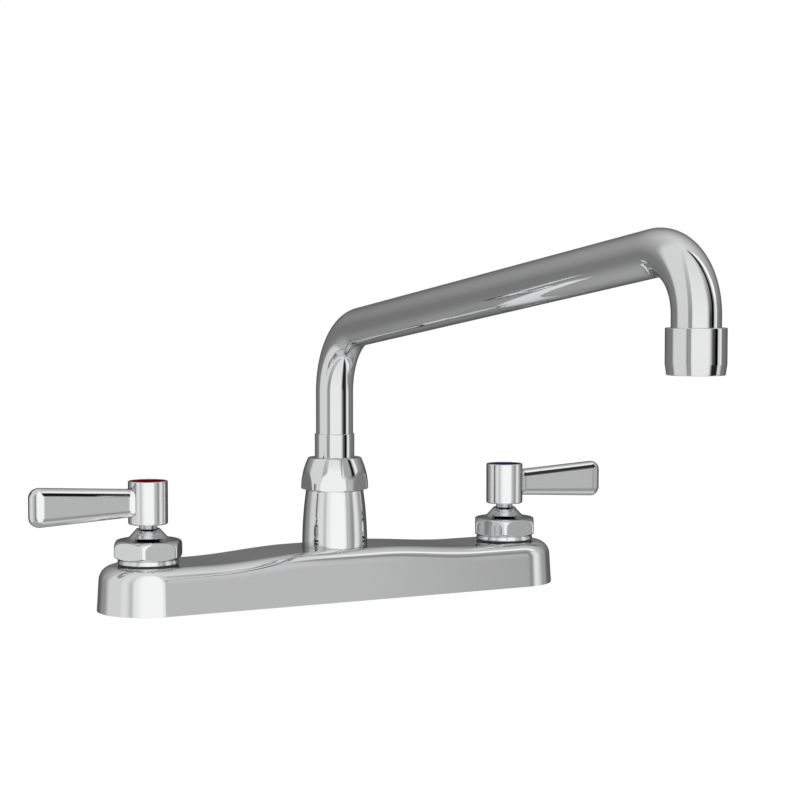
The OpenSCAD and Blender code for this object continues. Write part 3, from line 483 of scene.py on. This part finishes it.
def tube_stations():
    """Distance out, height and heading above level, from the foot to the outlet."""
    riser = [(0, TUBE_Z, 90), (0, SLEEVE_TOP, 90), (0, BEND_Z - 0.4, 90)]
    first = bend_stations(BEND_R, BEND_Z, BEND_R, 180, 90 + RUN_RISE)
    second = bend_stations(REACH - OUTLET_BEND_R, DROP_Z, OUTLET_BEND_R, 90 + RUN_RISE, 0)
    start, end = first[-1], second[0]
    run = [(between(start[0], end[0], t), between(start[1], end[1], t), RUN_RISE)
           for t in (0.002, 0.25, 0.5, 0.75, 0.998)]
    return riser + first + run + second + [(REACH, DROP_Z - 0.4, -90), (REACH, TUBE_END_Z, -90)]


def tube_ring(station, r):
    s, z, heading = station
    sides = 120
    out = []
    for i in range(sides):
        a = -2 * math.pi * i / sides
        across, up = r * math.sin(a), r * math.cos(a)
        out.append((across, -(s - up * math.sin(deg(heading))), z + up * math.cos(deg(heading))))
    return out


def make_tube():
    stations = tube_stations()
    inner = [stations[0], stations[2]] + stations[3::3] + [stations[-1]]
    b = Build()
    b.skin([tube_ring(s, TUBE_R) for s in stations] + [tube_ring(s, TUBE_R - TUBE_WALL) for s in inner[::-1]],
           loop=True)
    return b.object("spout_pipe")


def make_shell():
    bore, lip = SHELL_R - SHELL_WALL, SHELL_R - SHELL_WALL - LIP_W
    profile = rounded([
        (lip, SHELL_Z, 0.3), (SHELL_R - MOUTH_TAPER, SHELL_Z, 0.35), (SHELL_R, SHELL_Z + MOUTH_H, 2.5),
        (SHELL_R, SHELL_TOP, 0.4), (bore, SHELL_TOP, 0.2), (bore, SHELL_Z + LIP_T, 0.1),
        (lip, SHELL_Z + LIP_T, 0.2),
    ], closed=True)
    b = Build()
    b.lathe(profile, y=-REACH, loop=True)
    return b.object("aerator_cap")


# Handles


def lever_share(x):
    return (x - HUB_R) / (LEVER_REACH - HUB_R)


def lever_half(x):
    """Half the lever's height and half its thickness."""
    corner = clamp((x - LEVER_REACH + LEVER_CORNER_R) / LEVER_CORNER_R, 0, 1)
    nose = clamp((x - LEVER_REACH + LEVER_NOSE) / LEVER_NOSE, 0, 1)
    flare = LEVER_FLARE * clamp((HUB_R + FLARE_OUT - x) / FLARE_LEN, 0, 1) ** 2
    half_h = between(LEVER_ROOT_H, LEVER_TIP_H, lever_share(x)) / 2 + flare
    half_h -= LEVER_CORNER_R * (1 - math.sqrt(1 - corner * corner))
    half_t = LEVER_T / 2 * math.sqrt(max(1 - nose * nose, 0)) + flare
    return half_h, half_t


def lever_section(x):
    half_h, half_t = lever_half(x)
    most, steps = 0.96, 14
    bottom_r = between(LEVER_BOTTOM_R, LEVER_BOTTOM_TIP_R, clamp(lever_share(x), 0, 1))
    corners = [(1, 1, LEVER_TOP_R, 1), (-1, 1, LEVER_TOP_R, 1),
               (-1, -1, bottom_r, LEVER_BOTTOM_TALL), (1, -1, bottom_r, LEVER_BOTTOM_TALL)]

    def corner_point(c, turn):
        sy, sz, r, tall = corners[c % 4]
        r = min(r, half_t * most, half_h * most / tall)
        a = deg(turn)
        y, z = sy * (half_t - r) + r * math.cos(a), sz * (half_h - r * tall) + r * tall * math.sin(a)
        return x, y, LEVER_Z + z

    out = []
    for c in range(4):
        out += [corner_point(c, 90 * (c + k / steps)) for k in range(steps + 1)]
        # Points along the flat that follows, close to both of its ends and between
        p, q = out[-1], corner_point(c + 1, 90 * (c + 1))
        out += [(x, between(p[1], q[1], t), between(p[2], q[2], t)) for t in (0.01, 0.25, 0.5, 0.75, 0.99)]
    return out


def make_hub(side):
    bore, button_bore, lead_top = STEM_R + STEM_PLAY, BUTTON_R + BUTTON_PLAY, HUB_Z + SPLINE_LEAD
    profile = rounded([
        (bore, HUB_Z, 0.2), (HUB_R, HUB_Z, HUB_EDGE), (HUB_R, HUB_TOP, 0.5), (button_bore, HUB_TOP, 0.1),
        (button_bore, BUTTON_Z), (HEAD_POCKET_R, BUTTON_Z), (HEAD_POCKET_R, HEAD_SEAT_Z),
        (SCREW_HOLE_R, HEAD_SEAT_Z), (SCREW_HOLE_R, SPLINE_TOP), (SPLINE_R, SPLINE_TOP), (SPLINE_R, lead_top),
        (bore, lead_top),
    ], closed=True)
    b = Build()
    b.lathe(divided(profile, most=3.0), loop=True)
    b.to_valve(side)
    return b.object(SIDES[side] + "_handle_hub")


def make_lever(side):
    root, run, nose = 14, 16, 26
    start, run_start, run_end = HUB_R - LEVER_SINK, HUB_R + 3, LEVER_REACH - LEVER_NOSE
    xs = [between(start, run_start, i / root) for i in range(root + 1)]
    xs += [between(run_start, run_end - 0.05, i / run) for i in range(1, run + 1)]
    xs += [run_end + LEVER_NOSE * math.sin(deg(90 * i / nose)) for i in range(nose + 1)]
    b = Build()
    b.skin([lever_section(x) for x in xs], ends=True)
    b.to_valve(side)
    return b.object(SIDES[side] + "_handle_lever")


def make_button(side):
    stub_z, rim_z, face_z = BUTTON_Z - BUTTON_STUB_H, HUB_TOP - BUTTON_DROP, HUB_TOP + BUTTON_CROWN
    profile = [(0, stub_z), (BUTTON_STUB_R, stub_z), (BUTTON_STUB_R, BUTTON_Z), (BUTTON_R, BUTTON_Z)]
    profile += rounded([(BUTTON_R, BUTTON_Z + BUTTON_EDGE), (BUTTON_R, rim_z - BUTTON_BEVEL_H, 0.1),
                        (BUTTON_R - BUTTON_BEVEL, rim_z, 0.4), (0.01, face_z)])
    profile[-1] = (0, face_z)
    b = Build()
    b.lathe(divided(profile, most=1.5), x=side * VALVE_X, n=128)
    return b.object(SIDES[side] + "_index_disc", sharp=60)


# Materials

CHROME_DARK, CHROME_LIGHT = (0.80, 0.805, 0.815), (0.83, 0.832, 0.836)
# Painted shade: below HOLLOW_TOP and within HOLLOW_R of a valve's axis, the handles' chrome is painted black and
# dull, as shade in the hollows under them
HOLLOW_SHADE_PAINT, HOLLOW_SHADE_ROUGHNESS = (0.012, 0.012, 0.013), 0.6
HOLLOW_TOP, HOLLOW_R = HUB_Z + 0.35, 7.1
TURNED_LINES = (1, 1, 40)      # squeezes noise along Z, so that it runs round a turned piece


def blank_material(name):
    m = bpy.data.materials.new(name)
    m.use_nodes = True
    m.node_tree.nodes.clear()
    return m, m.node_tree, m.node_tree.nodes.new("ShaderNodeOutputMaterial")


def surface_material(name):
    m, nt, out = blank_material(name)
    bsdf = nt.nodes.new("ShaderNodeBsdfPrincipled")
    nt.links.new(bsdf.outputs[0], out.inputs[0])
    return m, nt, bsdf


def add_shaders(nt, a, b, out):
    add = nt.nodes.new("ShaderNodeAddShader")
    nt.links.new(a.outputs[0], add.inputs[0])
    nt.links.new(b.outputs[0], add.inputs[1])
    nt.links.new(add.outputs[0], out.inputs[0])


def math_node(nt, op, *values):
    n = nt.nodes.new("ShaderNodeMath")
    n.operation = op
    for socket, value in zip(n.inputs, values):
        if isinstance(value, (int, float)):
            socket.default_value = value
        else:
            nt.links.new(value, socket)
    return n.outputs[0]


def noise(nt, scale, detail, stretch=None):
    """Noise in the piece's own space; scale is in features per metre."""
    position = nt.nodes.new("ShaderNodeTexCoord").outputs["Object"]
    n = nt.nodes.new("ShaderNodeTexNoise")
    n.inputs["Scale"].default_value = scale
    n.inputs["Detail"].default_value = detail
    if stretch:
        m = nt.nodes.new("ShaderNodeMapping")
        m.inputs["Scale"].default_value = stretch
        nt.links.new(position, m.inputs[0])
        position = m.outputs[0]
    nt.links.new(position, n.inputs["Vector"])
    return n.outputs["Fac"]


def span(nt, value, lo, hi):
    n = nt.nodes.new("ShaderNodeMapRange")
    n.inputs["To Min"].default_value = lo
    n.inputs["To Max"].default_value = hi
    nt.links.new(value, n.inputs[0])
    return n.outputs[0]


def bump(nt, height, strength, distance, bsdf):
    n = nt.nodes.new("ShaderNodeBump")
    n.inputs["Strength"].default_value = strength
    n.inputs["Distance"].default_value = distance
    nt.links.new(height, n.inputs["Height"])
    nt.links.new(n.outputs[0], bsdf.inputs["Normal"])


def mix_colour(nt, factor, a, b):
    """From a to b, each of them a fixed colour or another node's output."""
    n = nt.nodes.new("ShaderNodeMix")
    n.data_type = "RGBA"
    nt.links.new(factor, n.inputs[0])
    for socket, colour in ((n.inputs[6], a), (n.inputs[7], b)):
        if isinstance(colour, tuple):
            socket.default_value = (*colour, 1)
        else:
            nt.links.new(colour, socket)
    return n.outputs[2]


def outside_painted_shade(nt):
    """0 where shade is painted, in the hollows under the handles, low down and close round a valve's axis, and 1
    elsewhere.
    """
    sep = nt.nodes.new("ShaderNodeSeparateXYZ")
    nt.links.new(nt.nodes.new("ShaderNodeNewGeometry").outputs["Position"], sep.inputs[0])
    x, y, z = sep.outputs
    x = math_node(nt, "SUBTRACT", math_node(nt, "ABSOLUTE", x), VALVE_X * MM)
    square = math_node(nt, "ADD", math_node(nt, "MULTIPLY", x, x), math_node(nt, "MULTIPLY", y, y))
    return math_node(nt, "MAXIMUM", math_node(nt, "GREATER_THAN", z, HOLLOW_TOP * MM),
                     math_node(nt, "GREATER_THAN", square, (HOLLOW_R * MM) ** 2))


def chrome_material(name, edge, hollows=False):
    """Chrome that mirrors the given share at grazing angles, and can have shade painted black and dull into the
    handles' hollows.
    """
    m, nt, bsdf = surface_material(name)
    bsdf.inputs["Specular Tint"].default_value = (edge, edge, edge, 1)
    colour = mix_colour(nt, noise(nt, 60, 2), CHROME_DARK, CHROME_LIGHT)
    rough = span(nt, noise(nt, 220, 4), 0.02, 0.05)
    bump(nt, noise(nt, 90, 2), 0.03, 0.0002, bsdf)
    # painted shade: in the handles' hollows the chrome turns black, dull and not metal
    if hollows:
        unshaded = outside_painted_shade(nt)
        colour = mix_colour(nt, unshaded, HOLLOW_SHADE_PAINT, colour)
        shade_share = math_node(nt, "SUBTRACT", 1.0, unshaded)
        rough = math_node(nt, "ADD", rough, math_node(nt, "MULTIPLY", shade_share, HOLLOW_SHADE_ROUGHNESS))
        nt.links.new(unshaded, bsdf.inputs["Metallic"])
    else:
        bsdf.inputs["Metallic"].default_value = 1.0
    nt.links.new(colour, bsdf.inputs["Base Color"])
    nt.links.new(rough, bsdf.inputs["Roughness"])
    return m


def plastic_material(name, dark, light, rough, shine):
    m, nt, bsdf = surface_material(name)
    bsdf.inputs["Specular IOR Level"].default_value = shine
    nt.links.new(mix_colour(nt, noise(nt, 400, 4), dark, light), bsdf.inputs["Base Color"])
    nt.links.new(span(nt, noise(nt, 900, 3), rough - 0.04, rough + 0.05), bsdf.inputs["Roughness"])
    bump(nt, noise(nt, 1500, 2), 0.05, 0.0001, bsdf)
    return m


def metal_material(name, dark, light, rough):
    m, nt, bsdf = surface_material(name)
    bsdf.inputs["Metallic"].default_value = 1.0
    lines = noise(nt, 300, 6, TURNED_LINES)
    nt.links.new(mix_colour(nt, lines, dark, light), bsdf.inputs["Base Color"])
    nt.links.new(span(nt, lines, rough - 0.08, rough + 0.08), bsdf.inputs["Roughness"])
    bump(nt, lines, 0.25, 0.0001, bsdf)
    return m


# Each plastic is (darkest, palest, roughness, shine), and each metal the same without a shine
PLASTICS = {
    "red_index": ((0.085, 0.001, 0.006), (0.11, 0.002, 0.010), 0.4, 0.0),
    "blue_index": ((0.008, 0.014, 0.10), (0.012, 0.020, 0.13), 0.4, 0.0),
    "black_rubber": ((0.012, 0.012, 0.013), (0.03, 0.03, 0.032), 0.55, 0.5),
    "black_fibre": ((0.035, 0.035, 0.035), (0.065, 0.063, 0.06), 0.7, 0.5),
    "ceramic": ((0.84, 0.84, 0.81), (0.90, 0.90, 0.88), 0.15, 0.5),
    "white_acetal": ((0.78, 0.78, 0.76), (0.86, 0.86, 0.84), 0.4, 0.5),
}
METALS = {
    "cartridge_brass": ((0.60, 0.46, 0.20), (0.74, 0.60, 0.32), 0.28),
    "stem_steel": ((0.50, 0.51, 0.53), (0.66, 0.67, 0.69), 0.25),
}
FINISH = {
    "chrome_plate": chrome_material("chrome_plate", 0.45),
    "base_chrome": chrome_material("base_chrome", 0.74),
    # the handles' chrome, with black shade painted into the hollows under them
    "handle_chrome_painted_shade": chrome_material("handle_chrome_painted_shade", 0.45, hollows=True),
}
for name, look in PLASTICS.items():
    FINISH[name] = plastic_material(name, *look)
for name, look in METALS.items():
    FINISH[name] = metal_material(name, *look)
INDEX_SLOT = {-1: "red_index", 1: "blue_index"}


def dress(obj, finish):
    obj.data.materials.clear()
    obj.data.materials.append(FINISH[finish])
    obj.data.polygons.foreach_set("material_index", [0] * len(obj.data.polygons))


def place(obj, body, slot, replaced, finish=None):
    """Puts a visible piece on a body in place of a node. Its finish is the slot's unless another is given."""
    dress(obj, finish or slot)
    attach(obj, body)
    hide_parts(replaced)


for part in frame["record"]["subparts"]:
    dress(nodes[part["node"]], part["material_slot"])

place(make_deck_body(), "body", "chrome_plate", "deck_body", "base_chrome")
place(make_pillar(), "body", "chrome_plate", "spout_pillar")
place(make_nut(), "body", "chrome_plate", "spout_nut")
place(make_sleeve(), "spout", "chrome_plate", "spout_sleeve")
place(make_tube(), "spout", "chrome_plate", "spout_tube")
place(make_shell(), "spout", "chrome_plate", "aerator_shell")
for side, name in SIDES.items():
    handle = name + "_handle"
    place(make_bonnet(side), "body", "chrome_plate", name + "_bonnet")
    place(make_hub(side), handle, "chrome_plate", handle, "handle_chrome_painted_shade")
    place(make_lever(side), handle, "chrome_plate", handle, "handle_chrome_painted_shade")
    place(make_button(side), handle, INDEX_SLOT[side], name + "_index_button")


# Surroundings: a white sweep, and what the chrome mirrors
#
# The picture is lit as if put together from several shots, so each group of pieces mirrors its own studio. A
# studio is (brightness of the bare room, brightness of the tent's top, walls, near cards). A wall card is
# (from, to, soft, soft, brightness): degrees round, then the widths of its soft edges outside. A near card
# stands before the walls and adds (lowest, highest, soft, soft) in degrees above level.

WALLS = [
    (60, 146, 20, 20, 0.34),                           # far side of the left softbox
    (52, 119, 10, 20, 0.745),                          # left softbox
    (74, 82, 7, 7, 0.85),                              # its bright middle
    (-88, -36, 16, 10, 0.40),                          # right wall
    (-58, -55, 24, 12, 0.91),                          # strip light on the right
    (-42.5, -38.5, 5, 5, 0.33),                        # grey flag
    (-26, 60, 12, 10, 0.57),                           # grey wall in front
]
FRONT = [
    (-15.6, 52, 1.8, 10, 0.93, -90, 62, 1, 22),        # large softbox in front
    (-7, 33, 8, 20, 1.10, -90, 60, 1, 24),             # its bright middle
]
SPOUT_WALLS = [
    (60, 150, 20, 14, 0.235),                          # far side of the left softbox
    (-84, -36, 16, 10, 0.24),                          # right wall
    (76, 123, 9, 13, 0.765),                           # left softbox
    (-48, -26, 6, 10, 0.07),                           # dark flag
    (-8, 50, 22, 9, 0.97),                             # large softbox in front
    (59.5, 63.5, 7, 8, 0.36),                          # gap between the two softboxes
]
STUDIOS = {
    "spout": (0.235, 0.79, SPOUT_WALLS, [
        (-45.5, -39, 4, 5, 0.0, -80, 66, 10, 14),      # black flag
        (-47, -28, 5, 12, 0.02, -70, -16, 20, 12),     # its broad foot
        (-64, -59.5, 9, 8, 1.02, -1, 22, 26, 15),      # strip light
        (-72, -60, 8, 8, 1.0, -90, -48, 1, 16),        # its foot
        (-58, -53, 5, 6, 0.8, -40, 4, 20, 10),         # its edge beside the flag
        (-66, -61, 8, 9, 1.2, 22, 62, 15, 14),         # its bright top
        (-50, -37, 6, 6, 0.03, 54, 76, 14, 12),        # broad top of the flag
    ]),
    "nut": (0.18, 0.82, SPOUT_WALLS, [
        (-8, 48, 18, 10, 1.04, -90, 24, 1, 14),        # large softbox in front
        (-49, -37.5, 4, 5, 0.0, 14, 66, 4, 14),        # black flag
        (-66, -61, 9, 8, 1.02, 18, 62, 11, 14),        # strip light
        (-60, -18, 40, 8, 0.30, -90, 8, 1, 8),         # grey wall low on the right
        (-30, -18, 22, 8, 0.56, -90, 8, 1, 8),         # its paler end
        (-34, -14, 10, 12, 0.44, 18, 50, 8, 10),       # grey wall above it
        (46, 66, 8, 6, 1.0, -90, 13, 1, 6),            # low softbox on the left
    ]),
    "base": (0.165, 0.79, WALLS, FRONT + [
        (-57, -36, 4, 6, 0.45, 36, 48, 10, 8),         # grey card over the strip light
        (-71, -63, 7, 7, 1.15, 44, 60, 16, 4),         # bright top of the strip light
        (-43.5, -39, 5, 5, 0.30, 20, 48, 20, 10),      # grey top of the flag
    ]),
    "pillar": (0.165, 0.76, WALLS, FRONT),
    "bonnets": (0.15, 0.70, WALLS, FRONT + [
        (95, 181, 25, 1, 0.35, 30, 70, 10, 8),         # grey wall behind, left half
        (-181, -50, 1, 25, 0.35, 30, 70, 10, 8),       # and right half
        (154, 181, 12, 1, 0.02, 50, 58, 5, 5),         # black edge far behind, left half
        (-181, -140, 1, 12, 0.02, 50, 58, 5, 5),       # and right half
    ]),
    "hubs": (0.14, 0.73, WALLS, FRONT + [
        (-180, 180, 1, 1, 0.47, -91, -52, 1, 26),      # grey table
    ]),
    "levers": (0.12, 0.73, WALLS, [
        (-15.6, 31, 1.8, 4, 0.93, -90, 62, 1, 22),     # softbox in front
        (-7, 24, 8, 8, 1.10, -90, 60, 1, 24),          # its bright middle
        (36, 41, 5, 14, 0.32, -30, 20, 10, 8),         # grey flag beside it
        (127, 175, 14, 8, 0.10, -40, 30, 10, 10),      # dark corner on the left
        (-75, -48, 15, 8, 0.50, -25, 14, 8, 8),        # grey wall on the right
        (-170, -90, 15, 15, 0.17, -25, 14, 8, 8),      # dark corner on the right
        (-34, -17, 5, 1.5, 0.54, -14, 6, 4, 5),        # grey card on the right
        (-88, -45, 30, 5, 1.0, 55, 62, 8, 8),          # long lamp high on the right
        (-45.5, -39, 4, 5, 0.0, 20, 40, 15, 8),        # black flag
        (-62, -14, 8, 3, 0.04, 20, 43, 18, 8),         # black bar across the front
        (-29, -14, 5, 3, 0.008, 21, 43, 17, 8),        # its blackest end
        (-62, -46, 8, 6, 0.02, 36, 48, 8, 7),          # its raised end
        (-62, -30, 20, 6, 1.1, 54.5, 59, 4, 6),        # lamp above the bar
        (-180, 180, 1, 1, 0.40, -91, -52, 1, 26),      # grey table
        (-88, -12, 10, 5, 0.66, -53, -42, 7, 8),       # its bright edge
        (-88, -12, 10, 5, 0.36, -30, -15, 7, 7),       # dark bar below the front
    ]),
}
GROUPS = {
    "base": ("deck_body_casting",),
    "pillar": ("pillar",),
    "nut": ("hold_down_nut",),
    "bonnets": ("hot_bonnet_shell", "cold_bonnet_shell"),
    "hubs": ("hot_handle_hub", "cold_handle_hub", "hot_index_disc", "cold_index_disc"),
    "levers": ("hot_handle_lever", "cold_handle_lever"),
}
STUDIO_R, STUDIO_R_STEP = 20000, 500                # each dome stands a step outside the one before
SKY_SHARE = 1.1                                     # weight of the tent's top straight up, and 0 at level
TABLE_SHARE, TABLE_TOP, TABLE_SOFT = 0.45, -54, 42  # the same below this height in degrees, and its soft edge
FLOOR_HALF = 6.0                                    # metres
FLOOR_PAINT, FLOOR_GLOW = 0.14, 0.88


def smooth_band(nt, value, lo, hi, soft_lo, soft_hi):
    """1 between lo and hi, falling to 0 over the given widths outside."""
    up, down = (nt.nodes.new("ShaderNodeMapRange") for _ in range(2))
    for n, start, end, first in ((up, lo - soft_lo, lo, 0.0), (down, hi, hi + soft_hi, 1.0)):
        n.interpolation_type = "SMOOTHSTEP"
        nt.links.new(value, n.inputs[0])
        n.inputs["From Min"].default_value = start
        n.inputs["From Max"].default_value = end
        n.inputs["To Min"].default_value = first
        n.inputs["To Max"].default_value = 1.0 - first
    return math_node(nt, "MULTIPLY", up.outputs[0], down.outputs[0])


def compass(nt, vector):
    """Degrees round from the front, positive on the faucet's left, and degrees above level."""
    unit = nt.nodes.new("ShaderNodeVectorMath")
    unit.operation = "NORMALIZE"
    nt.links.new(vector, unit.inputs[0])
    sep = nt.nodes.new("ShaderNodeSeparateXYZ")
    nt.links.new(unit.outputs[0], sep.inputs[0])
    x, y, z = sep.outputs
    left, front = math_node(nt, "MULTIPLY", x, -1.0), math_node(nt, "MULTIPLY", y, -1.0)
    z = math_node(nt, "MINIMUM", math_node(nt, "MAXIMUM", z, -1.0), 1.0)
    bearing = math_node(nt, "MULTIPLY", math_node(nt, "ARCTAN2", left, front), 180 / math.pi)
    return bearing, math_node(nt, "MULTIPLY", math_node(nt, "ARCSINE", z), 180 / math.pi)


def painted(nt, value, mask, level):
    """value + mask * (level - value)"""
    rise = math_node(nt, "SUBTRACT", level, value)
    return math_node(nt, "ADD", math_node(nt, "MULTIPLY", rise, mask), value)


def studio_light(nt, vector, studio):
    room, sky, walls, near = studio
    bearing, above = compass(nt, vector)
    value = room
    for start, end, soft_start, soft_end, level in walls:
        value = painted(nt, value, smooth_band(nt, bearing, start, end, soft_start, soft_end), level)
    # Everything pales toward the top of the tent, and less toward the table
    up = math_node(nt, "MULTIPLY", math_node(nt, "MAXIMUM", above, 0.0), SKY_SHARE / 90)
    down = math_node(nt, "MULTIPLY", smooth_band(nt, above, -91, TABLE_TOP, 1, TABLE_SOFT), TABLE_SHARE)
    value = painted(nt, value, math_node(nt, "ADD", up, down), sky)
    for start, end, soft_start, soft_end, level, low, high, soft_low, soft_high in near:
        wide = smooth_band(nt, bearing, start, end, soft_start, soft_end)
        tall = smooth_band(nt, above, low, high, soft_low, soft_high)
        value = painted(nt, value, math_node(nt, "MULTIPLY", wide, tall), level)
    return value


def make_studio(name, far, pieces):
    """A clear dome far outside, which only lights what the given pieces mirror."""
    rings = []
    for above in range(-90, 91, 15):
        r, z = far * math.cos(deg(above)), far * math.sin(deg(above))
        rings.append([(r * math.cos(deg(a)), r * math.sin(deg(a)), z) for a in range(0, 360, 6)])
    b = Build()
    b.skin(rings)
    dome = b.object(name + "_studio")
    m, nt, out = blank_material(name + "_studio")
    emit = nt.nodes.new("ShaderNodeEmission")
    position = nt.nodes.new("ShaderNodeNewGeometry").outputs["Position"]
    nt.links.new(studio_light(nt, position, STUDIOS[name]), emit.inputs["Strength"])
    add_shaders(nt, nt.nodes.new("ShaderNodeBsdfTransparent"), emit, out)
    m.cycles.emission_sampling = "NONE"
    dome.data.materials.append(m)
    for ray in ("camera", "diffuse", "transmission", "volume_scatter", "shadow"):
        setattr(dome, "visible_" + ray, False)
    lit = bpy.data.collections.new(name + "_pieces")
    for obj in pieces:
        lit.objects.link(obj)
    dome.light_linking.receiver_collection = lit


def make_studios():
    """One studio for each group of pieces, and the spout's for every piece that is in no group."""
    every_piece = [o for o in scene.objects if o.type == "MESH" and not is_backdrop(o)]
    group_of = {piece: group for group, pieces in GROUPS.items() for piece in pieces}
    for i, name in enumerate(STUDIOS):
        pieces = [o for o in every_piece if group_of.get(o.name, "spout") == name]
        make_studio(name, STUDIO_R + STUDIO_R_STEP * i, pieces)


def make_world():
    """White to the camera and to dull surfaces; the studios take its place in mirrored rays."""
    world = bpy.data.worlds.new("studio")
    scene.world = world
    world.use_nodes = True
    nt = world.node_tree
    nt.nodes.clear()
    out = nt.nodes.new("ShaderNodeOutputWorld")
    back = nt.nodes.new("ShaderNodeBackground")
    back.inputs["Color"].default_value = (1, 1, 1, 1)
    nt.links.new(back.outputs[0], out.inputs[0])
    path = nt.nodes.new("ShaderNodeLightPath")
    nt.links.new(math_node(nt, "SUBTRACT", 1.0, path.outputs["Is Glossy Ray"]), back.inputs["Strength"])


def make_floor():
    """A white sweep that keeps the object's shadow."""
    s = FLOOR_HALF
    mesh = bpy.data.meshes.new("sweep")
    mesh.from_pydata([(-s, -s, 0), (s, -s, 0), (s, s, 0), (-s, s, 0)], [], [(0, 1, 2, 3)])
    floor = bpy.data.objects.new("sweep", mesh)
    scene.collection.objects.link(floor)
    m, nt, out = blank_material("white_sweep")
    diffuse = nt.nodes.new("ShaderNodeBsdfDiffuse")
    diffuse.inputs[0].default_value = (FLOOR_PAINT, FLOOR_PAINT, FLOOR_PAINT, 1)
    emit = nt.nodes.new("ShaderNodeEmission")
    path = nt.nodes.new("ShaderNodeLightPath")
    mirrored = math_node(nt, "MAXIMUM", path.outputs["Is Glossy Ray"], path.outputs["Is Transmission Ray"])
    seen = math_node(nt, "MAXIMUM", path.outputs["Is Camera Ray"], mirrored)
    nt.links.new(math_node(nt, "MULTIPLY", seen, FLOOR_GLOW), emit.inputs["Strength"])
    add_shaders(nt, diffuse, emit, out)
    floor.data.materials.append(m)
    floor.visible_glossy = False


def make_camera():
    """1 m away, 26.3 degrees left of the faucet's front and as high as the middle of the tube's run."""
    bearing, distance, height = 26.31, 1002.98, 156.39
    aim, pitch, focal_px = 1.9246, 3.2184, 1963.81
    frame_px, right_px, down_px = 800, -0.375, 0.125
    cam = bpy.data.cameras.new("camera")
    obj = bpy.data.objects.new("camera", cam)
    scene.collection.objects.link(obj)
    cam.sensor_width = 36
    cam.lens = focal_px / frame_px * cam.sensor_width
    cam.shift_x, cam.shift_y = right_px / frame_px, down_px / frame_px
    cam.clip_start, cam.clip_end = 0.05, 50
    b = deg(bearing)
    obj.location = (-math.sin(b) * distance * MM, -math.cos(b) * distance * MM, height * MM)
    obj.rotation_euler = (deg(90 - pitch), 0, -deg(bearing + aim))
    scene.camera = obj


make_world()
make_studios()
make_floor()
make_camera()

scene.view_settings.view_transform = "Standard"
